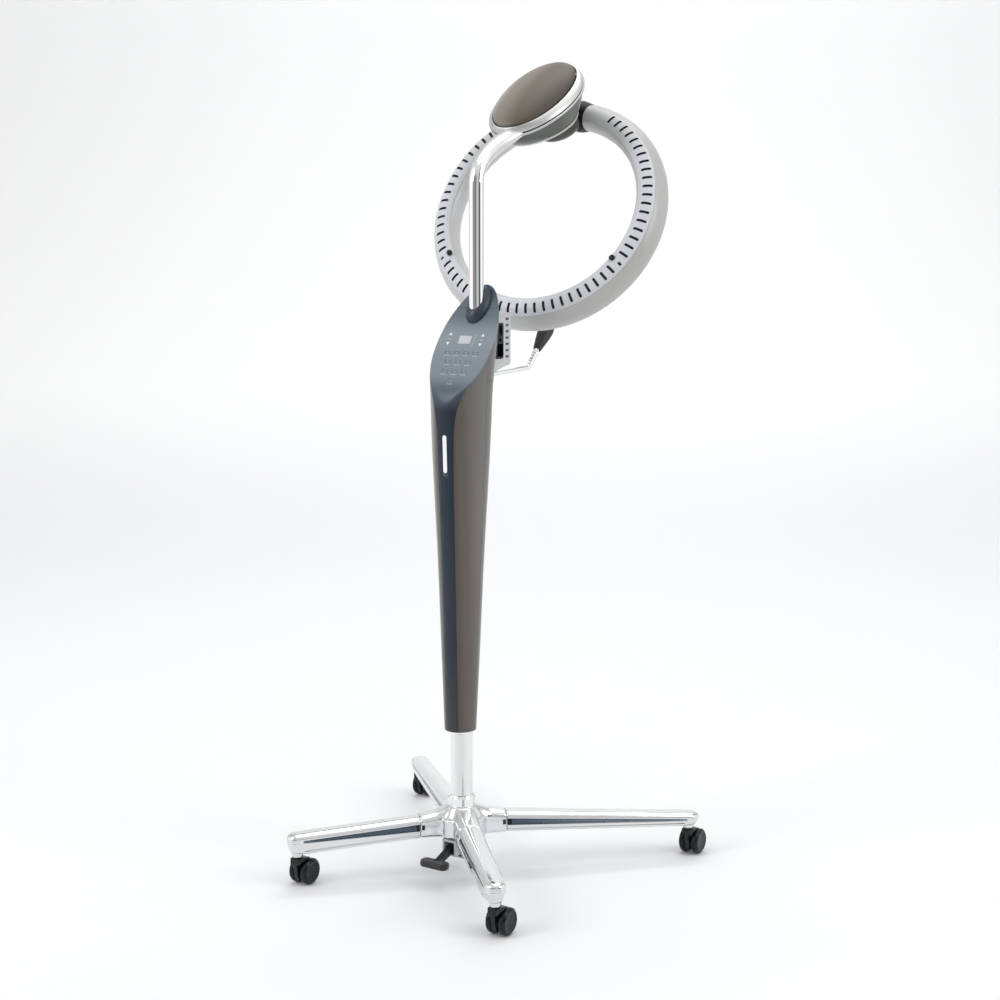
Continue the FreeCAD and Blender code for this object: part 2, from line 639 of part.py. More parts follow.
face_tool = panel_tool("PanelTool", 0.0, 70.0)
under_tool = panel_tool("PanelUnder", D["plate"], 70.0)
seat_tool = panel_tool("PanelSeat", D["plate"] + 0.3, 70.0)

shell_full = cut("CasingShellFull", outer, inner)
# front fascia outline seen from the front: strip that opens into the leaf
FAS = [(287.0, 13.2), (437.0, 13.6), (609.0, 14.4), (740.0, 15.6), (812.0, 16.8), (850.0, 18.0), (875.0, 19.9), (895.0, 23.4), (912.0, 28.2), (930.0, 35.6), (952.0, 46.5)]


def fascia_prism(name, grow, z_low):
    """Prism in -Y under the outline; smooth sides from a spline."""
    side = [Vector(w + grow, 0, z) for z, w in FAS]
    side[0].z = z_low
    bs = Part.BSplineCurve()
    bs.interpolate(side)
    bm = Part.BSplineCurve()
    bm.interpolate([Vector(-p.x, 0, p.z) for p in reversed(side)])
    a, b = side[0], side[-1]
    w = Part.Wire([bs.toShape(), Part.LineSegment(b, Vector(-b.x, 0, b.z)).toShape(), bm.toShape(), Part.LineSegment(Vector(-a.x, 0, a.z), a).toShape()])
    return feature(name, Part.Face(w).extrude(Vector(0, -130, 0)))


strip_tool = fascia_prism("StripTool", D["split_gap"], D["casing_low"] - 3)
strip_solid = fascia_prism("StripSolid", 0.0, D["casing_low"] - 2)

half = q("split_gap") / 2.0
keep_front = box("FrontHalf", (300.0, 300.0, 1000.0), (-150.0, -300.0 + 1.0 + half, 200.0))
keep_rear = box("RearHalf", (300.0, 300.0, 1000.0), (-150.0, 1.0 - half, 200.0))
above = box("AboveSplit", (300.0, 300.0, 400.0), (-150.0, -150.0, q("rear_split") - half))
below = box("BelowSplit", (300.0, 300.0, 800.0), (-150.0, -150.0, q("rear_split") + half - 800.0))
front_all = cut("FrontAll", cut("FrontOpen", cut("FrontRound", shell_full, keep_rear), strip_tool), seat_tool)
node(cut("FrontLeft", front_all, box("RightSide", (200.0, 300.0, 1000.0), (0, -150.0, 200.0))), "casing_front_left")
node(cut("FrontRight", front_all, box("LeftSide", (200.0, 300.0, 1000.0), (-200.0, -150.0, 200.0))), "casing_front_right")
# the rear shell's own walls start their seam at the front, away from it
rear_outer = casing_solid("RearOuter", 0.0, 0.0, -90.0)
rear_inner = casing_solid("RearInner", D["skin"], 1.0, -90.0)
low_ring = cut("RearLowRing", doc.getObject("RearOuter_low"), doc.getObject("RearInner_low"))
node(cut("RearShell", cut("RearLowOpen", cut("RearLowHalf", low_ring, keep_front), above), cyl("RodPassLow", 6.3, 60.0, (0, 30.0, 951.0), RX(-90))), "casing_rear_shell")
top_ring = cut("RearTopRing", doc.getObject("CasingOuter_top"), doc.getObject("CasingInner_top"))
rear_cov = cut("RearCoverRaw", cut("RearTopOpen", cut("RearTopHalf", top_ring, keep_front), below), seat_tool)
# the rear handle rod leaves on the split line of cover and shell
node(cut("RearCover", rear_cov, cyl("RodPass", 6.3, 60.0, (0, 30.0, 951.0), RX(-90))), "casing_rear_cover")

# fascia: strip part of the skin plus the slanted plate
strip_skin = cut("StripSkin", common("StripBand", [shell_full, strip_solid]), face_tool)
plate_raw = common("PlateRaw", [outer, cut("PlateSlab", under_tool, face_tool)])
fascia_raw = fuse("FasciaRaw", [plate_raw, strip_skin])
PANEL = Placement(Vector(0, D["panel_y"], D["panel_z"]), RX(D["panel_slope"]))


# grommet seat, display window, four arrow keys, light bar window
ARROWS = {"key_left_up": (-37.5, -111.5, 1), "key_left_down": (-37.0, -131.0, -1), "key_right_up": (34.0, -112.0, 1), "key_right_down": (34.5, -131.5, -1)}


def tri(name, x, s, up, size, n0, h):
    k = size
    pts = [(x - k, s - up * k * 0.62), (x + k, s - up * k * 0.62), (x + k * 0.18, s + up * k * 0.86), (x - k * 0.18, s + up * k * 0.86)]
    if up < 0:
        pts = list(reversed(pts))
    sp = sheet_poly(name, pts, base=PANEL, pos=(0, 0, n0))
    return extrude(name + "Ex", sp, PANEL.Rotation.multVec(Vector(0, 0, 1)), h)


def slot_bar(name, r):
    """Upright rounded bar along -Y, as deep as the casing's front."""
    z1, z2 = 786.2, 847.8
    return fuse(name, [box(name + "_mid", (2 * r, 60.0, z2 - z1), (-r, -90.0, z1)), cyl(name + "_low", r, 60.0, (0, -30.0, z1), RX(90)), cyl(name + "_high", r, 60.0, (0, -30.0, z2), RX(90))])


gr_e = ellipse("GrommetCutE", 41.0, 25.0, base=PANEL, pos=(0, -46.0, -20.0), rot=RZ(90))
gr_hole = extrude("GrommetCut", gr_e, PANEL.Rotation.multVec(Vector(0, 0, 1)), 40.0)
disp_hole = box("DisplayCut", (27.0, 17.6, 30.0), base=PANEL, pos=(-15.8, -131.0, -15.0))
led_cut = slot_bar("LedCut", 4.5)
key_cuts = [tri("KeyCut_" + k, x, s_, u, 4.0, -12.0, 24.0) for k, (x, s_, u) in ARROWS.items()]
fascia = cut("Fascia", fascia_raw, fuse("FasciaCuts", [gr_hole, disp_hole, led_cut, cyl("PolePass", q("pole_rad") + 0.5, 200.0, (0, "pole_y", 1000.0))] + key_cuts))
node(fascia, "front_fascia")

# display window with a ledge behind the plate
d1 = box("DisplayGlass", (26.6, 17.2, 3.8), base=PANEL, pos=(-15.6, -130.8, -3.6))
d2 = box("DisplayLedge", (32.0, 22.0, 4.0), base=PANEL, pos=(-18.3, -133.2, -7.05))
node(fuse("Display", [d1, d2]), "display_window")

for k, (x, s_, u) in ARROWS.items():
    t1 = tri(k + "_top", x, s_, u, 3.6, -5.0, 5.8)
    node(t1, k)

# light bar: rounded window set in the strip
lb_in = common("LightBarSkin", [slot_bar("LightBar", 4.2), outer])
lb_cut = cut("LightBarBack", lb_in, casing_solid("CasingInnerDeep", D["skin"] + 2.6, 1.0))
node(lb_cut, "light_bar")

# grommet around the pole: domed oval boot
gro_secs = []
for i, (n_, ga, gb_) in enumerate([(-3.0, 40.6, 24.6), (0.6, 40.2, 24.2), (3.4, 38.6, 23.0), (6.6, 35.6, 21.0), (9.8, 31.2, 18.2), (12.6, 25.6, 14.6), (14.6, 18.4, 10.2)]):
    gro_secs.append(ellipse("GrommetE%d" % i, ga, gb_, base=PANEL, pos=(0, -46.0, n_), rot=RZ(90)))
gro = loft("GrommetBody", gro_secs, ruled=True)
gro_c = common("GrommetTrim", [gro, outer])
gro_bore = cyl("GrommetBore", q("pole_rad") + 0.3, 200.0, (0, "pole_y", 1000.0))
node(cut("Grommet", gro_c, gro_bore), "pole_grommet")

# guide bushes on the chromed tube
bl = new_body("LowerBush")
s = body_sketch(bl, "LowerBushProfile", "XZ_Plane")
tr = q("tube_rad") + 0.06
poly(s, [(tr, "bush_low"), (q("bush_rad") - 1.2, "bush_low"), (q("bush_rad"), q("bush_low") + 1.2), (q("bush_rad"), q("casing_low") - 0.4), (q("bush_rad") - 0.3, q("casing_low") - 0.2), (q("bush_rad") - 0.3, q("casing_low") + 22.0), (tr, q("casing_low") + 22.0)])
revolve(bl, s, "LowerBushRev")
node(bl, "lower_guide_bush")
bu = new_body("UpperBush")
s = body_sketch(bu, "UpperBushProfile", "XZ_Plane")
poly(s, [(tr, 448.0), (31.0, 448.0), (31.0, 468.0), (tr, 468.0)])
revolve(bu, s, "UpperBushRev")
node(bu, "upper_guide_bush")

# inner mast: flange on the gas spring rod, tube, top plate with pole socket
mast = fuse("MastSolid", [cyl("MastTube", 19.0, 196.0, (0, 0, 748.0)), cyl("MastFlange", 44.0, 8.0, (0, 1.0, 742.0)), box("MastTop", (36.0, 59.0, 8.0), (-18.0, -14.0, 938.0)),
                          box("MastRib", (24.0, 17.0, 70.0), (-12.0, 28.0, 942.0)), box("MastCradle", (36.0, 36.0, 18.0), (-18.0, 28.0, 1004.0))])
mast_c = cut("Mast", mast, fuse("MastBores", [cyl("MastBore", 16.0, 184.0, (0, 0, 752.0)), cyl("MastRodSeat", q("rod_rad"), 20.0, (0, 0, 735.0)),
                                              cyl("MastPoleSeat", q("pole_rad") + 0.02, 40.0, (0, "pole_y", "pole_low"))]))
node(mast_c, "inner_mast")
# gas spring rod with piston
gr = new_body("GasRod")
s = body_sketch(gr, "GasRodProfile", "XZ_Plane")
pr = q("spring_rad") - 2.0 - 0.08
poly(s, [(0, 250.0), (pr, 250.0), (pr, 262.0), ("rod_rad", 262.0), ("rod_rad", 751.5), (0, 751.5)])
revolve(gr, s, "GasRodRev")
node(gr, "gas_spring_rod")

# ===========================================================================
# REAR: vented electronics box, socket panel, rocker, rear handle
# ===========================================================================
eb = new_body("RearBox")
s = body_sketch(eb, "RearBoxSide", "YZ_Plane")
by, bz0, bz1 = q("box_rear"), q("box_low"), q("box_high")
poly(s, [(58.0, bz0 - 12.0), (72.0, bz0 - 8.5), (by - 3.0, bz0), (by, bz0 + 3.0), (by, bz1 - 4.0), (by - 4.0, bz1), (72.0, bz1)])
pad(eb, s, q("box_half") * 2.0, "RearBoxPad", mid=True)
doc.recompute()
s = body_sketch(eb, "SocketRecess", "YZ_Plane", (0, 0, "box_half"))
poly(s, [(60.5, 985.0), (89.5, 985.0), (92.5, 988.0), (92.5, 1049.0), (89.5, 1052.0), (60.5, 1052.0)])
pocket(eb, s, 22.0, "SocketRecessCut")
s = body_sketch(eb, "BoxHollow", "XZ_Plane", (0, 0, 0))
poly(s, [(-31.0, bz0 + 4.0), (11.5, bz0 + 4.0), (11.5, bz1 - 4.0), (-31.0, bz1 - 4.0)])
s.AttachmentOffset = Placement(Vector(0, 0, -110.0), Rotation())
pocket(eb, s, 24.0, "BoxHollowCut")
eb_vents = []
for i in range(7):
    for sx in (-1, 1):
        eb_vents.append(box("Vent_%d_%d" % (i, sx), (10.0, 11.0, 4.8), (26.0 if sx > 0 else -36.0, 100.0, 986.0 + 11.7 * i)))
eb_s = cut("RearBoxVents", eb, fuse("Vents", eb_vents))
case_sub = casing_solid("CasingClear", -0.3, 0.0)
node(cut("RearBoxCut", eb_s, case_sub), "rear_box")

# socket panel: black insert with the mains inlet cavity and rocker window
yc = 80.5
sp_f = Placement(Vector(q("box_half").val - 21.5, 0, 0), RZ(90) * RX(90))
sp_s = sheet_poly("SocketOutline", [(60.0, 985.5), (89.3, 985.5), (92.1, 988.3), (92.1, 1048.7), (89.3, 1051.5), (60.0, 1051.5)], base=sp_f, pos=(0, 0, 0))
sp_e = extrude("SocketBlock", sp_s, Vector(1, 0, 0), 22.1)
sp1 = cut("SocketBody", sp_e, case_sub)
sp_in = box("InletCavity", (16.6, 19.6, 24.0), (q("box_half") - 16.0, yc - 9.8, 989.0))
sp_rk = box("RockerWindow", (19.6, 13.4, 19.4), (q("box_half") - 19.0, yc - 6.7, 1028.3))
sp_fu = cyl("FuseWell", 4.0, 8.0, (q("box_half") - 5.0, yc, 1020.5), RY(90))
pins = [box("InletPin_%d" % i, (12.0, 1.5, 4.0), (q("box_half") - 17.5, yc - 0.75, 991.0 + 8.0 * i)) for i in range(3)]
rk_pin = cyl("RockerPin", 1.0, 16.0, (D["box_half"] - 6.0, yc - 8.0, 1038.0), RX(-90))
node(fuse("SocketAll", [cut("SocketPanel", sp1, fuse("SocketCuts", [sp_in, sp_rk, sp_fu])), rk_pin] + pins), "socket_panel")
rk = new_body("Rocker")
s = body_sketch(rk, "RockerSide", "XY_Plane")
poly(s, [(-8.0, -8.8), (-3.2, -8.8), (-1.15, -8.5), (-3.0, 0.0), (-2.1, 8.8), (-4.2, 8.9), (-8.0, 8.8)])
pad(rk, s, 12.8, "RockerPad", mid=True)
s = body_sketch(rk, "RockerBore", "XY_Plane")
circ(s, -6.0, 0, 1.06)
pocket(rk, s, 40.0, "RockerBoreCut", mid=True)
node(rk, "power_rocker", Placement(Vector(D["box_half"], yc, 1038.0), RX(90)))

# rear handle: bent chromed rod with a flared grip
gd = Vector(0, 57.6, 61.0).normalize()
path_pts = [Vector(0, 50.0, 951.0), Vector(0, 238.0, 957.5), Vector(0, 238.0, 957.5) + gd * 70.0]


def fillet_path(pts, radii):
    edges, cur = [], pts[0]
    for i in range(1, len(pts) - 1):
        a, b, c = pts[i - 1], pts[i], pts[i + 1]
        u, v = (a - b).normalize(), (c - b).normalize()
        ang = u.getAngle(v)
        tl = radii[i - 1] / math.tan(ang / 2)
        p1, p2 = b + u * tl, b + v * tl
        bis = (u + v).normalize()
        mid = b + bis * (radii[i - 1] / math.sin(ang / 2) - radii[i - 1])
        edges.append(Part.LineSegment(cur, p1).toShape())
        edges.append(Part.Arc(p1, mid, p2).toShape())
        cur = p2
    edges.append(Part.LineSegment(cur, pts[-1]).toShape())
    return Part.Wire(edges)


def pipe(wire, r, start, direction):
    c = Part.Wire(Part.makeCircle(r, start, direction))
    s_ = Part.BRepOffsetAPI.MakePipeShell(wire)
    s_.setFrenetMode(True)
    s_.add(c)
    s_.build()
    s_.makeSolid()
    return s_.shape()


hw = fillet_path(path_pts, [16.0])
rod = feature("HandleRodBend", pipe(hw, 5.5, path_pts[0], path_pts[1] - path_pts[0]))
rod_fl = cyl("RodFlange", 9.0, 11.0, (0, 45.0, 951.0), RX(-90))
node(fuse("HandleRod", [rod, rod_fl]), "rear_handle_rod")
g_pl = Placement(path_pts[1] + gd * 46.0, Rotation(Vector(0, 0, 1), gd))
gb = new_body("HandleGrip")
s = body_sketch(gb, "GripProfile", "XZ_Plane")
poly(s, [(5.55, 0), (7.4, 0), (8.2, 0.9), (9.8, 10.0), (11.9, 22.0), (13.9, 34.0), (15.2, 44.0), (15.4, 52.0), (14.6, 59.0), (12.0, 64.5), (7.0, 68.0), (0, 69.0), (0, 24.6), (5.55, 24.6)])
revolve(gb, s, "GripRev")
node(gb, "rear_handle_grip", g_pl)

# ===========================================================================
# POLE AND HEAD
# ===========================================================================
TL = D["head_tilt"]
HEAD = Placement(Vector(0, D["head_y"], D["head_z"]), RX(TL))


def hp(x, k, h):
    """World point from head coordinates: k along the disc's slope, h up its axis."""
    return HEAD.multVec(Vector(x, k, h))


py_ = D["pole_y"]
pw = [Vector(0, py_, D["pole_low"] + 0.3), Vector(0, py_, 1314.0), Vector(0, 76.0, 1342.0), Vector(0, 112.0, 1371.0), hp(0, -121.0, -12.0)]
pw[4] = pw[4] - (pw[4] - pw[3]).normalize() * 6.5
pole_wire = fillet_path(pw, [60.0, 55.0, 110.0])
pole_out = pipe(pole_wire, D["pole_rad"], pw[0], Vector(0, 0, 1))
low_bore = Part.makeCylinder(D["pole_bore"], 300.0, Vector(0, py_, 1000.0), Vector(0, 0, 1))
arm_feat = feature("PoleArmBend", pole_out.cut(low_bore))
node(arm_feat, "pole_arm")

# rim: chromed oval frame around the cap, with the neck grown out of its front
rim_secs = []
for i, (h, g) in enumerate([(-15.0, 7.0), (-13.6, 3.6), (-11.0, 1.2), (-7.5, 0.0), (-2.5, 0.0), (1.0, 1.2), (3.6, 3.8), (5.0, 7.5)]):
    rim_secs.append(ellipse("RimSec%d" % i, q("rim_long") - g, q("rim_wide") - g, base=HEAD, pos=(0, 0, h), rot=RZ(90)))
rim_ext = loft("RimBlock", rim_secs, ruled=True)
rim_i = ellipse("RimInner", q("cap_long") - 5.0, q("cap_wide") + 2.0, base=HEAD, pos=(0, 0, -40.0), rot=RZ(90))
rim_in = extrude("RimHole", rim_i, HEAD.Rotation.multVec(Vector(0, 0, 1)), 80.0)
doc.recompute()
rb_ = rim_ext.Shape.cut(rim_in.Shape)


def ell_wire(c, ax, a, b):
    """Ellipse wire centred on c, normal ax, half size a along X and b across."""
    m = ax.cross(Vector(1, 0, 0)).normalize()
    return Part.Wire(Part.Ellipse(c + Vector(a, 0, 0), c + m * b, c).toShape())


neck_pts = [(Vector(0, 96.0, 1357.5), Vector(0, 38, 29), 14.7, 14.7), (Vector(0, 107.0, 1365.8), Vector(0, 39, 29.5), 15.2, 14.9), (Vector(0, 118.0, 1374.0), Vector(0, 40, 30), 16.0, 15.0),
            (Vector(0, 131.0, 1381.6), Vector(0, 60, 38), 17.4, 15.0), (Vector(0, 146.0, 1389.4), Vector(0, 70, 44), 20.4, 14.9), (hp(0, -125.0, -10.5), Vector(0, 80, 50), 26.0, 13.4), (hp(0, -113.0, -8.5), Vector(0, 80, 54), 33.0, 10.6)]
wires = [ell_wire(c, ax.normalize(), a, b) for c, ax, a, b in neck_pts]
neck = Part.makeLoft(wires, True, True)
neck_cut = neck.cut(pipe(pole_wire, D["pole_rad"] + 0.02, pw[0], Vector(0, 0, 1)))
neck_big = max(neck_cut.Solids, key=lambda s_: s_.Volume)
neck_feat = feature("NeckShape", neck_big)
node(cut("HeadRim", rim_ext, rim_in), "head_rim")
node(cut("HeadNeck", neck_feat, rim_ext), "head_neck")

# cap: shallow oval dome over the drive, hollow
cap_o = Part.makeSphere(100.0)
mt = FreeCAD.Matrix()
mt.scale(D["cap_wide"] / 100.0 * 1.02, D["cap_long"] / 100.0 * 1.02, 0.262)
cap_s = cap_o.transformGeometry(mt)
mt2 = FreeCAD.Matrix()
mt2.scale((D["cap_wide"] - 2.6) / 100.0 * 1.02, (D["cap_long"] - 2.6) / 100.0 * 1.02, 0.236)
cap_i = cap_o.transformGeometry(mt2)
skirt_o = Part.Face(Part.Wire(Part.Ellipse(Vector(0, D["cap_long"] - 5.4, 0), Vector(D["cap_wide"] + 1.6, 0, 0), Vector(0, 0, 0)).toShape())).extrude(Vector(0, 0, 12))
skirt_i = Part.Face(Part.Wire(Part.Ellipse(Vector(0, D["cap_long"] - 8.4, 0), Vector(D["cap_wide"] - 1.4, 0, 0), Vector(0, 0, 0)).toShape())).extrude(Vector(0, 0, 16))
skirt = skirt_o.cut(skirt_i)
skirt.translate(Vector(0, 0, -6.0))
cap_top = cap_s.cut(cap_i).common(Part.makeBox(400, 400, 60, Vector(-200, -200, 0.0)))
cap_top.translate(Vector(0, 0, 5.3))
cap_all = cap_top.fuse(skirt.common(Part.makeBox(400, 400, 60, Vector(-200, -200, -6.0)))).removeSplitter()
node(feature("HeadCap", cap_all, HEAD), "head_cap")

# dish: bowl under the rim that carries the drive, flat round bottom
so = ellipse("DishTopE", q("rim_long") - 12.0, q("rim_wide") - 12.0, base=HEAD, pos=(0, 0, -15.0), rot=RZ(90))
sb_ = ellipse("DishLowE", q("dish_rad") + 0.5, q("dish_rad"), base=HEAD, pos=(0, -D["dish_off"], -D["dish_low"]), rot=RZ(90))
dish_o = loft("DishOuter", [so, sb_], ruled=True)
so2 = ellipse("DishTopI", q("rim_long") - 15.5, q("rim_wide") - 15.5, base=HEAD, pos=(0, 0, -14.0), rot=RZ(90))
sb2 = ellipse("DishLowI", q("dish_rad") - 2.5, q("dish_rad") - 3.0, base=HEAD, pos=(0, -D["dish_off"], -D["dish_low"] + 3.0), rot=RZ(90))
dish_i = loft("DishInner", [so2, sb2], ruled=True)
dish_bore = cyl("DishBore", 14.0, 40.0, base=HEAD, pos=(0, D["spin_off"], -D["dish_low"] - 20.0))
node(cut("Dish", dish_o, fuse("DishCuts", [dish_i, dish_bore])), "drive_housing")
# trim ring on the dish's lower edge
tr_o = cyl("TrimOuter", q("dish_rad") + 1.8, 3.4, base=HEAD, pos=(0, -D["dish_off"], -D["dish_low"] - 1.4))
tr_i = cyl("TrimInner", q("dish_rad") + 0.6, 10.0, base=HEAD, pos=(0, -D["dish_off"], -D["dish_low"] - 4.0))
tr_plate = cyl("TrimPlate", q("dish_rad") + 1.8, 1.2, base=HEAD, pos=(0, -D["dish_off"], -D["dish_low"] - 1.5))
tr_hole = cyl("TrimHole", 15.5, 10.0, base=HEAD, pos=(0, D["spin_off"], -D["dish_low"] - 5.0))
trim_all = fuse("TrimRaw", [cut("TrimRing", tr_o, tr_i), tr_plate])
dish_clear = loft("DishClear", [ellipse("DishClearTop", q("rim_long") - 11.8, q("rim_wide") - 11.8, base=HEAD, pos=(0, 0, -15.2), rot=RZ(90)),
                                ellipse("DishClearLow", q("dish_rad") + 0.7, q("dish_rad") + 0.2, base=HEAD, pos=(0, -D["dish_off"], -D["dish_low"] - 0.1), rot=RZ(90))], ruled=True)
node(cut("DishTrim", trim_all, fuse("TrimCuts", [tr_hole, dish_clear])), "housing_trim_ring")

# bearing in the dish's floor, spindle, gear, pinion, motor
K = D["spin_off"]
bear = cut("Bearing", cyl("BearingO", 14.0, 8.0, base=HEAD, pos=(0, K, -D["dish_low"])), cyl("BearingI", 9.06, 20.0, base=HEAD, pos=(0, K, -D["dish_low"] - 4.0)))
node(bear, "spindle_bearing")


def gear(name, teeth, module, z0, h, bore, cx, cy, phase=0.0):
    """Straight-sided teeth on a disc; tip and root follow the module."""
    rp = teeth * module / 2.0
    ro, ri = rp + 0.85 * module, rp - 1.15 * module
    pts = []
    for i in range(teeth):
        a = 2 * math.pi * i / teeth + math.radians(phase)
        w = 2 * math.pi / teeth
        for f, r in ((-0.27, ri), (-0.13, ro), (0.13, ro), (0.27, ri)):
            pts.append(Vector(cx + r * math.cos(a + f * w), cy + r * math.sin(a + f * w), z0))
    face = Part.Face(Part.makePolygon(pts + [pts[0]]))
    g = face.extrude(Vector(0, 0, h))
    if bore > 0:
        g = g.cut(Part.makeCylinder(bore, h + 4, Vector(cx, cy, z0 - 2)))
    return feature(name, g, HEAD)


hub_gear = gear("HubGearSolid", 48, 1.25, -34.0, 7.0, 0, 0, K)
node(gear("PinionSolid", 12, 1.25, -34.5, 12.0, 2.52, 0, K - 37.5 - 0.15, 180.0 / 12 + 90.0), "motor_pinion")
mot = fuse("MotorSolid", [cyl("MotorCan", 19.0, 26.0, base=HEAD, pos=(0, K - 37.65, -21.5)), cyl("MotorShaft", 2.5, 14.0, base=HEAD, pos=(0, K - 37.65, -35.0))])
node(mot, "drive_motor")

# ===========================================================================
# RING: hub block with drum, two tapered collars, slotted front band, back shell
# ===========================================================================
RING = Placement(Vector(0, D["ring_y"], D["ring_z"]), RZ(D["ring_yaw"]) * RX(90 - D["ring_tilt"]))
e1 = Vector(0.40, 0, -0.9165)          # oval's long direction (radial, axial)
e2 = Vector(0.9165, 0, 0.40)
oang = math.degrees(math.atan2(-0.9165, 0.40))
OV_ROT = RX(90) * RZ(oang)             # ellipse plane = local XZ, long axis along e1
RR = D["ring_rad"]


def oval_wire(a, b, off=Vector(0, 0, 0)):
    e = Part.Ellipse(Vector(0, 0, 0), a, b)
    w = Part.Wire(e.toShape())
    w.Placement = Placement(Vector(RR, 0, 0) + off, OV_ROT)
    return w


def sweep_ring(wire, start, span):
    f = Part.Face(wire)
    f.rotate(Vector(0, 0, 0), Vector(0, 0, 1), start)
    return f.revolve(Vector(0, 0, 0), Vector(0, 0, 1), span)


A, B, W = D["oval_long"], D["oval_short"], D["oval_wall"]
HA, SA = D["hub_half_angle"], D["shell_half_angle"]
start, span = 90.0 + SA, 360.0 - 2 * SA


def sec_pt(psi, ka=1.0):
    c, s_ = math.cos(math.radians(psi)), math.sin(math.radians(psi))
    p = e1 * (-A * c * ka) + e2 * (B * s_ * ka)
    return Vector(RR + p.x, 0, p.z)


# split line of the two shells: chord from psi -14 (inner) to psi 62 (outer)
p_in, p_out = sec_pt(-14.0), sec_pt(62.0)
chord = (p_out - p_in).normalize()
up_n = Vector(-chord.z, 0, chord.x)
if up_n.z < 0:
    up_n = up_n * -1
gap = D["split_gap"] / 2.0


def half_poly(sign):
    o = up_n * (gap * sign)
    a = p_in - chord * 40 + o
    b = p_out + chord * 40 + o
    c, d = b + up_n * (120 * sign), a + up_n * (120 * sign)
    return Part.makePolygon([a, b, c, d, a])


solid_o = Part.Face(oval_wire(A, B))
solid_i = Part.Face(oval_wire(A - W, B - W))
hollow = solid_o.cut(solid_i)


def ring_piece(sec, start_, span_):
    out = []
    for f in sec.Faces:
        g = f.copy()
        g.rotate(Vector(0, 0, 0), Vector(0, 0, 1), start_)
        out.append(g.revolve(Vector(0, 0, 0), Vector(0, 0, 1), span_))
    return out[0] if len(out) == 1 else out[0].fuse(out[1:])


front_sec = hollow.common(Part.Face(half_poly(1)))
back_sec = hollow.common(Part.Face(half_poly(-1)))
front_ring = ring_piece(front_sec, start, span)
back_ring = ring_piece(back_sec, start, span)

# slots: radial, on the axial face, square to the oval's surface there
s_c = sec_pt(33.0)
c33, s33 = math.cos(math.radians(33.0)), math.sin(math.radians(33.0))
nrm = (e1 * (-c33 / A) + e2 * (s33 / B)).normalize()
tan_ = Vector(nrm.z, 0, -nrm.x)
slots = []
KNOB_R, KNOB_L = 19, 43
N_SLOTS = 62
SLW, SLL = D["slot_wide"], D["slot_long"]
for j in range(N_SLOTS):
    ang = D["slot_start"] - D["slot_pitch"] * j
    ll, sh_ = SLL, 0.0
    if j in (KNOB_R, KNOB_L):
        ll, sh_ = SLL * 0.42, SLL * 0.29
    bx = Part.makeBox(ll - SLW, 22.0, SLW, Vector(-(ll - SLW) / 2.0 + sh_, -14.0, -SLW / 2.0))
    c1 = Part.makeCylinder(SLW / 2.0, 22.0, Vector(-(ll - SLW) / 2.0 + sh_, -14.0, 0), Vector(0, 1, 0))
    c2 = Part.makeCylinder(SLW / 2.0, 22.0, Vector((ll - SLW) / 2.0 + sh_, -14.0, 0), Vector(0, 1, 0))
    tool = bx.fuse([c1, c2]).removeSplitter()
    tool.Placement = Placement(s_c, Rotation(tan_, nrm, tan_.cross(nrm), "XYZ"))
    tool.rotate(Vector(0, 0, 0), Vector(0, 0, 1), ang)
    slots.append(tool)
slot_tool = Part.makeCompound(slots)
front_slotted = front_ring.cut(slot_tool)
node(feature("RingFront", front_slotted, RING), "ring_front_grille")
node(feature("RingBack", back_ring, RING), "ring_back_shell")

# reflector trough behind the heaters
ref_o = Part.Face(oval_wire(A - W - 2.6, B - W - 2.6)).cut(Part.Face(oval_wire(A - W - 3.6, B - W - 3.6)))
cutline = Part.makePolygon([p_in - chord * 40 - up_n * 12, p_out + chord * 40 - up_n * 12, p_out + chord * 40 - up_n * 120, p_in - chord * 40 - up_n * 120, p_in - chord * 40 - up_n * 12])
ref_sec = ref_o.common(Part.Face(cutline))
node(feature("Reflector", ring_piece(ref_sec, start + 1.0, span - 2.0), RING), "ring_reflector")

# quartz heater tubes: two arcs, each nearly half a turn, with end caps
hc = s_c - nrm * 17.0
heat = []
for a0 in (90.0 + SA + 3.0, 270.0 + 3.0):
    w = Part.Wire(Part.makeCircle(5.0, Vector(hc.x, 0, hc.z), Vector(0, 1, 0)))
    heat.append(sweep_ring(w, a0, 180.0 - SA - 6.0))
    for aa in (a0, a0 + 180.0 - SA - 6.0):
        c = Part.makeCylinder(6.6, 14.0, Vector(hc.x, -7.0, hc.z), Vector(0, 1, 0))
        c.rotate(Vector(0, 0, 0), Vector(0, 0, 1), aa)
        heat.append(c)
hs = [heat[0].fuse(heat[1:3]), heat[3].fuse(heat[4:6])]
node(feature("Heaters", Part.makeCompound(hs), RING), "heater_tubes")

# temperature sensors on the inner edge of the grille
sens = []
for j in (KNOB_R, KNOB_L):
    ang = D["slot_start"] - D["slot_pitch"] * j
    pc = sec_pt(6.0)
    cc, ss = math.cos(math.radians(6.0)), math.sin(math.radians(6.0))
    nn = (e1 * (-cc / A) + e2 * (ss / B)).normalize()
    cy_ = Part.makeCylinder(5.6, 4.2, pc + nn * 0.2, nn)
    stem_ = Part.makeCylinder(2.6, 8.0, pc - nn * 4.0, nn)
    dome = Part.makeSphere(5.6).common(Part.makeBox(20, 20, 20, Vector(-10, -10, 0)))
    mm = FreeCAD.Matrix()
    mm.scale(1, 1, 0.45)
    dome = dome.transformGeometry(mm)
    dome.Placement = Placement(pc + nn * 4.4, Rotation(Vector(0, 0, 1), nn))
    one = cy_.fuse([stem_, dome])
    one.rotate(Vector(0, 0, 0), Vector(0, 0, 1), ang)
    sens.append(one)
sens_holes = []
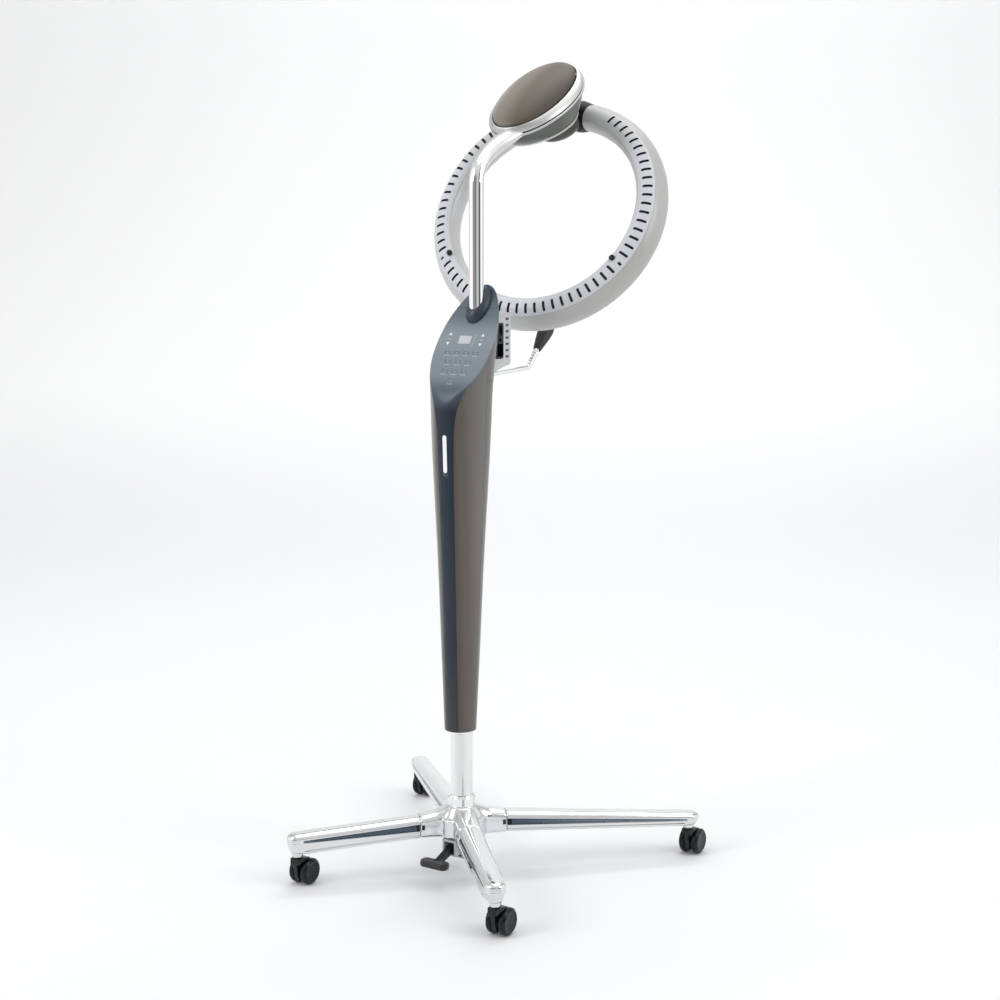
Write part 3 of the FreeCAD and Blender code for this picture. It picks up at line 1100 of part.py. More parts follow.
for j in (KNOB_R, KNOB_L):
    pc = sec_pt(6.0)
    cc, ss = math.cos(math.radians(6.0)), math.sin(math.radians(6.0))
    nn = (e1 * (-cc / A) + e2 * (ss / B)).normalize()
    h_ = Part.makeCylinder(2.65, 12.0, pc - nn * 6.0, nn)
    h_.rotate(Vector(0, 0, 0), Vector(0, 0, 1), D["slot_start"] - D["slot_pitch"] * j)
    sens_holes.append(h_)
NODES[-4][0].Shape = front_slotted.cut(Part.makeCompound(sens_holes))
NODES[-4][0].Placement = RING
node(feature("Sensors", Part.makeCompound(sens), RING), "ring_sensors")

# tapered collars between the hub block and the shells
cols = []
for sgn in (-1, 1):
    w1 = oval_wire(A * 1.17, B * 1.17)
    w1.rotate(Vector(0, 0, 0), Vector(0, 0, 1), 90.0 + sgn * (HA + 0.12))
    w2 = oval_wire(A * 1.015, B * 1.015)
    w2.rotate(Vector(0, 0, 0), Vector(0, 0, 1), 90.0 + sgn * (SA - 0.12))
    cols.append(Part.makeLoft([w1, w2], True, True))

# hub: block on the ring's line, drum on the spin axis, spindle boss
blk_w = Part.Face(oval_wire(A * 1.17, B * 1.17))
blk_w.rotate(Vector(0, 0, 0), Vector(0, 0, 1), 90.0 - HA)
hub_blk = blk_w.revolve(Vector(0, 0, 0), Vector(0, 0, 1), 2 * HA)
hub_blk.Placement = RING.multiply(hub_blk.Placement)
drum = Part.makeCylinder(D["drum_rad"], D["drum_low"] - D["dish_low"] - 3.2, Vector(0, K, -D["drum_low"]), Vector(0, 0, 1))
drum = drum.makeFillet(13.0, [e for e in drum.Edges if abs(e.CenterOfMass.z + D["drum_low"]) < 0.1])
boss = Part.makeCylinder(12.0, 4.0, Vector(0, K, -D["dish_low"] - 4.3), Vector(0, 0, 1))
bore = Part.makeCylinder(9.0, 60.0, Vector(0, K, -D["dish_low"] - 30.0), Vector(0, 0, 1))
drum_full = drum.copy()
drum_full.Placement = HEAD
drum = drum.fuse(boss).cut(bore)
drum.Placement = HEAD
hub_all = drum.fuse(hub_blk).removeSplitter()
cols_w = []
for c_ in cols:
    c_.Placement = RING.multiply(c_.Placement)
    cols_w.append(max(c_.cut(drum_full).Solids, key=lambda s_: s_.Volume))
node(feature("Collars", Part.makeCompound(cols_w)), "ring_collars")
node(feature("RingHub", hub_all), "ring_hub")
spd = fuse("SpindleSolid", [cyl("SpindleLow", 9.0, 29.0 + 12.0, base=HEAD, pos=(0, K, -D["dish_low"] - 29.5)), cyl("SpindleTop", 7.98, 14.0, base=HEAD, pos=(0, K, -D["dish_low"] + 11.0))])
node(fuse("SpindleGear", [spd, hub_gear]), "ring_spindle")

# ===========================================================================
doc.recompute()
bad = []
for o in doc.Objects:
    st = " ".join(o.State)
    if "Invalid" in st or "Error" in st:
        bad.append("%s: %s" % (o.Name, st))
names = set()
os.makedirs("parts", exist_ok=True)
for o, name in NODES:
    sh = o.Shape
    if sh.isNull() or not sh.isValid() or not sh.Solids:
        bad.append("%s: null=%s valid=%s solids=%d" % (name, sh.isNull(), (not sh.isNull()) and sh.isValid(), 0 if sh.isNull() else len(sh.Solids)))
    if name in names:
        bad.append("twice: " + name)
    names.add(name)
if bad:
    raise RuntimeError("; ".join(bad))
for o, name in NODES:
    sh = o.Shape
    bb = sh.BoundBox
    print("%-28s solids %2d vol %9.1f  x %7.1f %7.1f y %7.1f %7.1f z %7.1f %7.1f" % (name, len(sh.Solids), sh.Volume, bb.XMin, bb.XMax, bb.YMin, bb.YMax, bb.ZMin, bb.ZMax))
    sh.exportStep("parts/%s.step" % name)
print(len(NODES), "nodes")
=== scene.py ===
import bpy
import bmesh
import math
from mathutils import Matrix, Vector
from mathutils.bvhtree import BVHTree
from mathutils.kdtree import KDTree


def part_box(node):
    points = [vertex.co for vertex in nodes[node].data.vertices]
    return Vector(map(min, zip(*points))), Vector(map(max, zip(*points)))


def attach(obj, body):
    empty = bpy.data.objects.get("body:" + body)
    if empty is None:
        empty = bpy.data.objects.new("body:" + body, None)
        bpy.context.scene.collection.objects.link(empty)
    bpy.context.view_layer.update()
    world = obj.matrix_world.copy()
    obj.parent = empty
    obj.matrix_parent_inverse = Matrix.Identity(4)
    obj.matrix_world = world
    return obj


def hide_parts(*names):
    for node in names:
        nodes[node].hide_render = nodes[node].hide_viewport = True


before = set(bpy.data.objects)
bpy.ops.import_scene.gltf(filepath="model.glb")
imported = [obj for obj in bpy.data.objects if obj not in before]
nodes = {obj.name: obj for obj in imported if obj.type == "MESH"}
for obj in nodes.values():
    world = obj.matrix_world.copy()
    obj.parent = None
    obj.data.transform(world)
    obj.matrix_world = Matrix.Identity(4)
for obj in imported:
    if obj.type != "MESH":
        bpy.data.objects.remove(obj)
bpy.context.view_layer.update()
scene = bpy.context.scene
V = Vector


# ---------------------------------------------------------------------------
# Materials: every one has its own noise-driven colour, roughness and bump
# ---------------------------------------------------------------------------
def material(name, base, rough=0.4, metal=0.0, var=0.05, var_scale=5.0, grain=0.02, grain_scale=900.0, rough_var=0.06, rough_scale=60.0,
             coat=0.0, coat_rough=0.05, flake=0.0, flake_scale=2600.0, tint=None, tint_axis=2, tint_from=0.0, tint_to=1.0, brushed=None, spec=0.5, ior=1.5, ramp=None, slot_shade_colour=None, rramp=None):
    """Object-space procedural finish. tint mixes to a second colour along an axis; ramp paints a colour change along
    one axis, used for painted light, shade and reflection on most pieces; brushed = (x, y, z) scale of stretched grain.
    """
    m = bpy.data.materials.new(name)
    m.use_nodes = True
    nt = m.node_tree
    N, L = nt.nodes, nt.links
    bs = N["Principled BSDF"]
    tc = N.new("ShaderNodeTexCoord")
    co = tc.outputs["Object"]

    def noise(scale, detail=3.0, rough_=0.5, vec=None):
        n = N.new("ShaderNodeTexNoise")
        n.inputs["Scale"].default_value = scale
        n.inputs["Detail"].default_value = detail
        n.inputs["Roughness"].default_value = rough_
        L.new(vec if vec is not None else co, n.inputs["Vector"])
        return n.outputs["Fac"]

    def remap(v, a, b, lo, hi):
        r = N.new("ShaderNodeMapRange")
        r.inputs["From Min"].default_value = a
        r.inputs["From Max"].default_value = b
        r.inputs["To Min"].default_value = lo
        r.inputs["To Max"].default_value = hi
        L.new(v, r.inputs["Value"])
        return r.outputs["Result"]

    def mix(fac, a, b, mode="MIX"):
        x = N.new("ShaderNodeMix")
        x.data_type = "RGBA"
        x.blend_type = mode
        for sock, val in ((x.inputs["Factor"], fac), (x.inputs["A"], a), (x.inputs["B"], b)):
            if isinstance(val, (tuple, list)):
                sock.default_value = (val[0], val[1], val[2], 1.0)
            elif isinstance(val, float):
                sock.default_value = val
            else:
                L.new(val, sock)
        return x.outputs["Result"]

    lo = tuple(c * (1.0 - var) for c in base)
    hi = tuple(min(1.0, c * (1.0 + var)) for c in base)
    col = mix(remap(noise(var_scale, 4.0), 0.3, 0.7, 0.0, 1.0), lo, hi)
    if tint is not None:
        sx = N.new("ShaderNodeSeparateXYZ")
        L.new(co, sx.inputs[0])
        col = mix(remap(sx.outputs[tint_axis], tint_from, tint_to, 0.0, 1.0), col, tuple(tint))
    if ramp is not None:
        # colour ramp along one axis of the piece: painted light, shade and reflection on most pieces, the change from
        # chrome to satin on the pole
        sx = N.new("ShaderNodeSeparateXYZ")
        L.new(co, sx.inputs[0])
        lo_, hi_ = ramp[1][0][0], ramp[1][-1][0]
        rn = N.new("ShaderNodeValToRGB")
        rn.color_ramp.interpolation = "EASE"
        while len(rn.color_ramp.elements) < len(ramp[1]):
            rn.color_ramp.elements.new(0.5)
        for e_, (p_, c_) in zip(rn.color_ramp.elements, ramp[1]):
            e_.position = (p_ - lo_) / (hi_ - lo_)
            e_.color = (c_[0], c_[1], c_[2], 1.0)
        L.new(remap(sx.outputs[ramp[0]], lo_, hi_, 0.0, 1.0), rn.inputs["Fac"])
        col = mix(0.92, col, rn.outputs["Color"])
    if flake > 0:
        vo = N.new("ShaderNodeTexVoronoi")
        vo.inputs["Scale"].default_value = flake_scale
        L.new(co, vo.inputs["Vector"])
        bw = N.new("ShaderNodeSeparateColor")
        L.new(vo.outputs["Color"], bw.inputs[0])
        col = mix(remap(bw.outputs[0], 0.55, 1.0, 0.0, flake), col, (0.9, 0.88, 0.86))
    if slot_shade_colour is not None:
        # painted shade: the walls of the ring's slots, everything under the ring section's outer skin, are painted
        # near-black
        inv = (Matrix.Translation((0, 0.3076, 1.2554)) @ Matrix.Rotation(math.radians(6.5), 4, "Z") @ Matrix.Rotation(math.radians(63.3), 4, "X")).inverted()
        mp_ = N.new("ShaderNodeMapping")
        mp_.inputs["Location"].default_value = inv.to_translation()
        mp_.inputs["Rotation"].default_value = inv.to_euler("XYZ")
        L.new(co, mp_.inputs["Vector"])
        sx = N.new("ShaderNodeSeparateXYZ")
        L.new(mp_.outputs["Vector"], sx.inputs[0])

        def mth(op, *args):
            n_ = N.new("ShaderNodeMath")
            n_.operation = op
            for i_, a_ in enumerate(args):
                if isinstance(a_, float):
                    n_.inputs[i_].default_value = a_
                else:
                    L.new(a_, n_.inputs[i_])
            return n_.outputs[0]

        rad_ = mth("SUBTRACT", mth("SQRT", mth("ADD", mth("MULTIPLY", sx.outputs[0], sx.outputs[0]), mth("MULTIPLY", sx.outputs[1], sx.outputs[1]))), 0.217)
        u_ = mth("DIVIDE", mth("ADD", mth("MULTIPLY", rad_, 0.40), mth("MULTIPLY", sx.outputs[2], -0.9165)), 0.0356)
        v_ = mth("DIVIDE", mth("ADD", mth("MULTIPLY", rad_, 0.9165), mth("MULTIPLY", sx.outputs[2], 0.40)), 0.0264)
        rho = mth("SQRT", mth("ADD", mth("MULTIPLY", u_, u_), mth("MULTIPLY", v_, v_)))
        col = mix(remap(rho, 0.982, 0.992, 0.0, 1.0), tuple(slot_shade_colour), col)
    L.new(col, bs.inputs["Base Color"])
    vec = None
    if brushed:
        mp = N.new("ShaderNodeMapping")
        mp.inputs["Scale"].default_value = brushed
        L.new(co, mp.inputs["Vector"])
        vec = mp.outputs["Vector"]
    rv = noise(rough_scale, 4.0, 0.6, vec)
    rough_out = remap(rv, 0.25, 0.75, max(0.02, rough - rough_var), min(1.0, rough + rough_var))
    if rramp is not None:
        # finish turns duller along one axis
        sr = N.new("ShaderNodeSeparateXYZ")
        L.new(co, sr.inputs[0])
        ad = N.new("ShaderNodeMath")
        ad.operation = "ADD"
        L.new(rough_out, ad.inputs[0])
        L.new(remap(sr.outputs[rramp[0]], rramp[1], rramp[2], 0.0, rramp[3]), ad.inputs[1])
        rough_out = ad.outputs[0]
    L.new(rough_out, bs.inputs["Roughness"])
    bs.inputs["Metallic"].default_value = metal
    bs.inputs["Specular IOR Level"].default_value = spec
    bs.inputs["IOR"].default_value = ior
    bs.inputs["Coat Weight"].default_value = coat
    bs.inputs["Coat Roughness"].default_value = coat_rough
    if grain > 0:
        bp = N.new("ShaderNodeBump")
        bp.inputs["Strength"].default_value = min(1.0, grain)
        bp.inputs["Distance"].default_value = 0.0004
        L.new(noise(grain_scale, 5.0, 0.65, vec), bp.inputs["Height"])
        L.new(bp.outputs["Normal"], bs.inputs["Normal"])
    return m


M = {}
M["alloy"] = material("alloy_polished", (0.74, 0.75, 0.765), 0.12, 1.0, 0.03, 9.0, 0.05, 420.0, 0.06, 45.0)
M["chrome"] = material("chrome_bright", (0.86, 0.865, 0.88), 0.055, 1.0, 0.02, 12.0, 0.015, 300.0, 0.03, 70.0)
M["satin_chrome"] = material("chrome_satin", (0.575, 0.58, 0.57), 0.42, 1.0, 0.02, 12.0, 0.03, 500.0, 0.04, 80.0)
M["dark_steel"] = material("steel_dark", (0.10, 0.10, 0.105), 0.35, 1.0, 0.10, 30.0, 0.06, 700.0)
M["zinc"] = material("zinc_plate", (0.52, 0.53, 0.54), 0.38, 0.9, 0.10, 60.0, 0.08, 900.0, 0.10, 200.0)
M["nylon"] = material("nylon_black", (0.0052, 0.0068, 0.0095), 0.34, 0.0, 0.20, 40.0, 0.10, 1600.0, 0.06, 300.0, spec=0.34)
M["wheel"] = material("wheel_black", (0.004, 0.0065, 0.0115), 0.28, 0.0, 0.20, 40.0, 0.06, 1500.0, 0.06, 300.0, spec=0.27)
M["rubber"] = material("rubber_black", (0.016, 0.016, 0.018), 0.42, 0.0, 0.25, 50.0, 0.20, 1900.0, 0.08, 300.0)
# casing colour is light at the -x side, dark in the middle and lighter again at +x: painted light and reflection on the
# satin shell
M["taupe"] = material("shell_taupe", (0.105, 0.090, 0.075), 0.34, 0.35, 0.03, 4.0, 0.008, 1800.0, 0.03, 400.0, coat=0.20, coat_rough=0.18, flake=0.03, flake_scale=5200.0,
                     ramp=(0, [(-0.06, (0.300, 0.285, 0.265)), (-0.034, (0.290, 0.275, 0.255)), (-0.022, (0.120, 0.105, 0.092)), (-0.01, (0.076, 0.059, 0.045)), (0.014, (0.077, 0.060, 0.046)), (0.030, (0.110, 0.095, 0.080)), (0.050, (0.165, 0.155, 0.140))]))
# cap colour runs from light at -x to dark at +x: painted light and reflection across the dome
M["cap"] = material("cap_taupe", (0.105, 0.088, 0.070), 0.54, 0.06, 0.03, 4.0, 0.008, 1800.0, 0.03, 400.0, coat=0.05, coat_rough=0.35, ramp=(0, [(-0.075, (0.430, 0.400, 0.372)), (-0.03, (0.215, 0.190, 0.166)), (0.02, (0.088, 0.073, 0.051)), (0.075, (0.044, 0.034, 0.024))]))
M["grey_shell"] = material("shell_grey", (0.135, 0.132, 0.126), 0.36, 0.25, 0.03, 4.0, 0.008, 1800.0, 0.03, 400.0, coat=0.2, coat_rough=0.18, flake=0.03, flake_scale=5200.0)
# fascia colour along z: dark at the foot, a pale band across the control face, darker above: painted light and shade
# over the crease between strip and face
M["slate"] = material("fascia_slate", (0.030, 0.042, 0.060), 0.36, 0.12, 0.03, 5.0, 0.008, 1800.0, 0.03, 400.0, coat=0.06, coat_rough=0.22, flake=0.02, flake_scale=5200.0, spec=0.36,
                     ramp=(2, [(0.28, (0.034, 0.038, 0.041)), (0.45, (0.009, 0.020, 0.036)), (0.89, (0.004, 0.013, 0.030)), (0.925, (0.050, 0.072, 0.098)), (0.965, (0.200, 0.236, 0.275)), (1.03, (0.240, 0.276, 0.316)), (1.07, (0.115, 0.152, 0.182)), (1.12, (0.055, 0.078, 0.105))]))
M["lens"] = material("display_lens", (0.50, 0.53, 0.56), 0.12, 0.0, 0.05, 40.0, 0.01, 900.0, 0.03, 90.0, coat=0.6)
M["white"] = material("light_white", (0.93, 0.93, 0.93), 0.28, 0.0, 0.02, 60.0, 0.02, 1200.0, 0.05, 150.0)
M["key"] = material("key_white", (0.80, 0.80, 0.80), 0.35, 0.0, 0.03, 80.0, 0.03, 1500.0, 0.05, 200.0)
M["box"] = material("box_grey", (0.50, 0.51, 0.52), 0.45, 0.0, 0.04, 10.0, 0.25, 1400.0, 0.06, 300.0)
M["dish"] = material("dish_grey", (0.108, 0.115, 0.103), 0.30, 0.35, 0.05, 6.0, 0.02, 1800.0, 0.05, 300.0, coat=0.3, coat_rough=0.12)
M["hub"] = material("hub_brown", (0.080, 0.072, 0.062), 0.33, 0.30, 0.06, 8.0, 0.03, 1600.0, 0.05, 300.0, coat=0.25, coat_rough=0.15)
# ring front: slot walls painted near-black as painted shade; the ramp darkens the top of the ring next to the hub,
# painted shade
M["ring_front"] = material("ring_front", (0.56, 0.585, 0.62), 0.38, 0.0, 0.02, 6.0, 0.01, 1600.0, 0.04, 300.0, slot_shade_colour=(0.006, 0.007, 0.009),
                     ramp=(2, [(1.00, (0.58, 0.605, 0.64)), (1.33, (0.56, 0.585, 0.62)), (1.43, (0.50, 0.51, 0.515)), (1.50, (0.44, 0.44, 0.42))]))
# ring back colour is lighter on the -x side and darker on the +x side: painted light and shade
M["ring_back"] = material("ring_back", (0.43, 0.43, 0.418), 0.36, 0.05, 0.02, 5.0, 0.01, 1700.0, 0.04, 300.0, coat=0.15, coat_rough=0.2,
                    ramp=(0, [(-0.26, (0.58, 0.585, 0.59)), (-0.08, (0.52, 0.525, 0.53)), (0.08, (0.45, 0.45, 0.445)), (0.26, (0.425, 0.42, 0.405))]))
M["reflector"] = material("reflector_alloy", (0.55, 0.56, 0.58), 0.22, 1.0, 0.04, 30.0, 0.05, 500.0)
M["quartz"] = material("quartz_frosted", (0.85, 0.82, 0.76), 0.30, 0.0, 0.05, 60.0, 0.05, 900.0)
M["bronze"] = material("bronze_sintered", (0.45, 0.30, 0.14), 0.40, 1.0, 0.10, 90.0, 0.15, 1500.0)
M["pole"] = material("chrome_pole", (0.86, 0.865, 0.87), 0.06, 1.0, 0.02, 12.0, 0.01, 300.0, 0.03, 70.0,
                    ramp=(2, [(1.0, (0.86, 0.865, 0.87)), (1.33, (0.86, 0.865, 0.87)), (1.375, (0.66, 0.665, 0.655)), (1.45, (0.575, 0.58, 0.57))]), rramp=(2, 1.325, 1.375, 0.36))
# flute colour: dark blue-grey in the polished groove, lighter towards both sides along x: painted reflection and shade;
# the pale copy below is a lighter painted reflection for the rear-left leg
M["flute"] = material("flute_grey", (0.10, 0.125, 0.155), 0.30, 0.7, 0.06, 12.0, 0.06, 500.0, 0.06, 60.0,
                     ramp=(0, [(-0.34, (0.16, 0.19, 0.225)), (-0.08, (0.085, 0.115, 0.15)), (0.08, (0.085, 0.115, 0.15)), (0.20, (0.19, 0.225, 0.26)), (0.34, (0.24, 0.27, 0.30))]))
M["flute_pale"] = material("flute_pale", (0.42, 0.44, 0.47), 0.24, 0.9, 0.06, 12.0, 0.06, 500.0, 0.06, 60.0)
M["boot"] = material("boot_rubber", (0.020, 0.031, 0.048), 0.42, 0.0, 0.10, 30.0, 0.03, 1500.0, 0.06, 300.0)
M["screen"] = material("screen_black", (0.006, 0.007, 0.009), 0.55, 0.0, 0.25, 60.0, 0.25, 1400.0, 0.06, 300.0)
M["field"] = material("field_slate", (0.140, 0.166, 0.196), 0.40, 0.1, 0.04, 30.0, 0.02, 1500.0, 0.05, 300.0)
M["print"] = material("print_white", (0.64, 0.665, 0.69), 0.45, 0.0, 0.05, 90.0, 0.03, 1500.0, 0.05, 300.0)
M["collar"] = material("collar_dark", (0.010, 0.0095, 0.0072), 0.46, 0.0, 0.10, 30.0, 0.05, 1600.0, 0.06, 300.0, spec=0.15)
# chrome tube colour across x: bright on the -x side, a grey streak right of centre: painted reflection
M["tube"] = material("chrome_tube", (0.86, 0.865, 0.88), 0.07, 1.0, 0.02, 12.0, 0.015, 300.0, 0.03, 70.0,
                    ramp=(0, [(-0.022, (0.88, 0.885, 0.895)), (-0.008, (0.86, 0.87, 0.885)), (0.003, (0.74, 0.755, 0.77)), (0.012, (0.70, 0.715, 0.72)), (0.022, (0.80, 0.81, 0.815))]))
M["gear"] = material("gear_nylon", (0.78, 0.76, 0.68), 0.45, 0.0, 0.05, 30.0, 0.08, 1200.0)

USE = {
    "alloy": ["base_hub", "leg_front_left", "leg_front_right", "leg_rear_left", "leg_rear_right"],
    "tube": ["lower_tube"],
    "collar": ["ring_collars"],
    "chrome": ["tube_collar", "pole_arm", "gas_spring_rod", "rear_handle_rod", "lower_guide_bush"],
    "satin_chrome": ["head_rim", "head_neck", "housing_trim_ring"],
    "dark_steel": ["gas_spring_cylinder"],
    "zinc": ["pedal_bracket", "valve_pin", "pedal_torsion_spring", "inner_mast", "drive_motor"],
    "nylon": ["pedal_lever", "upper_guide_bush", "socket_panel", "power_rocker", "pole_grommet", "ring_sensors",
              "caster_hood_front_left", "caster_hood_front_right", "caster_hood_rear_left", "caster_hood_rear_right"],
    "wheel": ["caster_wheels_front_left", "caster_wheels_front_right", "caster_wheels_rear_left", "caster_wheels_rear_right"],
    "rubber": ["pedal_foot_bar", "rear_handle_grip"],
    "taupe": ["casing_front_left", "casing_front_right", "head_cap"],
    "grey_shell": ["casing_rear_shell", "casing_rear_cover"],
    "slate": ["front_fascia"],
    "lens": ["display_window"],
    "white": ["light_bar"],
    "key": ["key_left_up", "key_left_down", "key_right_up", "key_right_down"],
    "box": ["rear_box", "pedal_bearing_block"],
    "dish": ["drive_housing"],
    "bronze": ["spindle_bearing"],
    "gear": ["motor_pinion", "ring_spindle"],
    "ring_front": ["ring_front_grille"],
    "ring_back": ["ring_back_shell"],
    "reflector": ["ring_reflector"],
    "quartz": ["heater_tubes"],
    "hub": ["ring_hub"],
}
for key, names in USE.items():
    for n in names:
        o = nodes[n]
        for s in range(max(1, len(o.material_slots))):
            if len(o.material_slots) == 0:
                o.data.materials.append(M[key])
            else:
                o.material_slots[s].material = M[key]


# ---------------------------------------------------------------------------
# Mesh helpers
# ---------------------------------------------------------------------------
MM = 0.001


def add_mesh(name, verts, faces, mat, body, smooth=True, sharp=None, replaces=()):
    me = bpy.data.meshes.new(name)
    me.from_pydata([tuple(v) for v in verts], [], faces)
    me.update()
    bm = bmesh.new()
    bm.from_mesh(me)
    bmesh.ops.remove_doubles(bm, verts=bm.verts, dist=1e-6)
    bmesh.ops.recalc_face_normals(bm, faces=bm.faces)
    bm.to_mesh(me)
    bm.free()
    for p in me.polygons:
        p.use_smooth = smooth
    if sharp is not None:
        me.set_sharp_from_angle(angle=math.radians(sharp))
    o = bpy.data.objects.new(name, me)
    scene.collection.objects.link(o)
    me.materials.append(mat)
    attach(o, body)
    if replaces:
        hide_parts(*replaces)
    return o


def grid_faces(nu, nv, wrap_u=False, wrap_v=False, off=0):
    out = []
    for i in range(nu if wrap_u else nu - 1):
        for j in range(nv if wrap_v else nv - 1):
            a, b = off + i * nv + j, off + ((i + 1) % nu) * nv + j
            c, d = off + ((i + 1) % nu) * nv + (j + 1) % nv, off + i * nv + (j + 1) % nv
            out.append((a, b, c, d))
    return out


def lathe(prof, n=64, caps=True):
    """prof: list of (r, z) in mm; returns verts, faces round +Z."""
    verts, faces = [], []
    for i in range(n):
        a = 2 * math.pi * i / n
        for r, z in prof:
            verts.append(V((r * math.cos(a), r * math.sin(a), z)))
    faces = grid_faces(n, len(prof), wrap_u=True)
    return verts, faces


def place_verts(verts, mat):
    return [mat @ v for v in verts]


def bevel(o, width, segments=2, angle=35):
    md = o.modifiers.new("bevel", "BEVEL")
    md.width = width
    md.segments = segments
    md.limit_method = "ANGLE"
    md.angle_limit = math.radians(angle)
    md.harden_normals = True
    return o


def lerp_table(tab, x):
    """Smooth (monotone cubic) lookup in a table of (x, value...) rows."""
    if x <= tab[0][0]:
        return tab[0][1:]
    if x >= tab[-1][0]:
        return tab[-1][1:]
    for i in range(len(tab) - 1):
        if tab[i][0] <= x <= tab[i + 1][0]:
            break
    out = []
    h = tab[i + 1][0] - tab[i][0]
    t = (x - tab[i][0]) / h
    for k in range(1, len(tab[0])):
        y0, y1 = tab[i][k], tab[i + 1][k]
        d = (y1 - y0) / h

        def slope(j):
            if j <= 0:
                return (tab[1][k] - tab[0][k]) / (tab[1][0] - tab[0][0])
            if j >= len(tab) - 1:
                return (tab[-1][k] - tab[-2][k]) / (tab[-1][0] - tab[-2][0])
            a = (tab[j][k] - tab[j - 1][k]) / (tab[j][0] - tab[j - 1][0])
            b = (tab[j + 1][k] - tab[j][k]) / (tab[j + 1][0] - tab[j][0])
            if a * b <= 0:
                return 0.0
            ha, hb = tab[j][0] - tab[j - 1][0], tab[j + 1][0] - tab[j][0]
            w1, w2 = 2 * hb + ha, hb + 2 * ha
            return (w1 + w2) / (w1 / a + w2 / b)

        m0, m1 = slope(i), slope(i + 1)
        t2, t3 = t * t, t * t * t
        out.append((2 * t3 - 3 * t2 + 1) * y0 + (t3 - 2 * t2 + t) * h * m0 + (-2 * t3 + 3 * t2) * y1 + (t3 - t2) * h * m1)
    return tuple(out)


# ---------------------------------------------------------------------------
# Base: fluted cast legs with rounded ends, blended hub
# ---------------------------------------------------------------------------
def leg_profile(w, zt, zb, c, g1, g2, deep):
    """Right half of a leg's section: (half width, height) from underside centre to crown centre."""
    p = [(0.0, zb), (w * 0.5, zb), (w - 2.6, zb), (w - 0.6, zb + 0.5), (w + 0.5, zb + 1.5), (w + 0.9, zb + 2.8), (w + 0.9, zb + 4.2), (w + 0.6, zb + 5.2), (w + 0.1, zb + 6.0)]
    for t in (0.25, 0.5, 0.75):
        p.append((w, zb + 6.0 + (g2 - 1.0 - zb - 6.0) * t))
    p += [(w, g2 - 1.0), (w - 0.25, g2 - 0.35), (w - 0.9 * min(1, deep), g2 + 0.2)]
    n = 8
    for i in range(n + 1):
        a = math.pi * (i + 0.6) / (n + 1.2)
        p.append((w - deep * (0.55 + 0.45 * math.sin(a)) if deep > 0.05 else w, g2 + 0.5 + (g1 - g2 - 1.0) * i / n))
    p += [(w - 0.9 * min(1, deep), g1 - 0.2), (w - 0.25, g1 + 0.35), (w, g1 + 1.0)]
    n = 14
    zc = zt - c
    p.append((w, (g1 + 1.0) * 0.5 + zc * 0.5))
    for i in range(n + 1):
        a = math.pi / 2 * i / n
        p.append((w * math.cos(a) ** 0.86 if i < n else 0.0, zc + c * math.sin(a) ** 1.08))
    return p


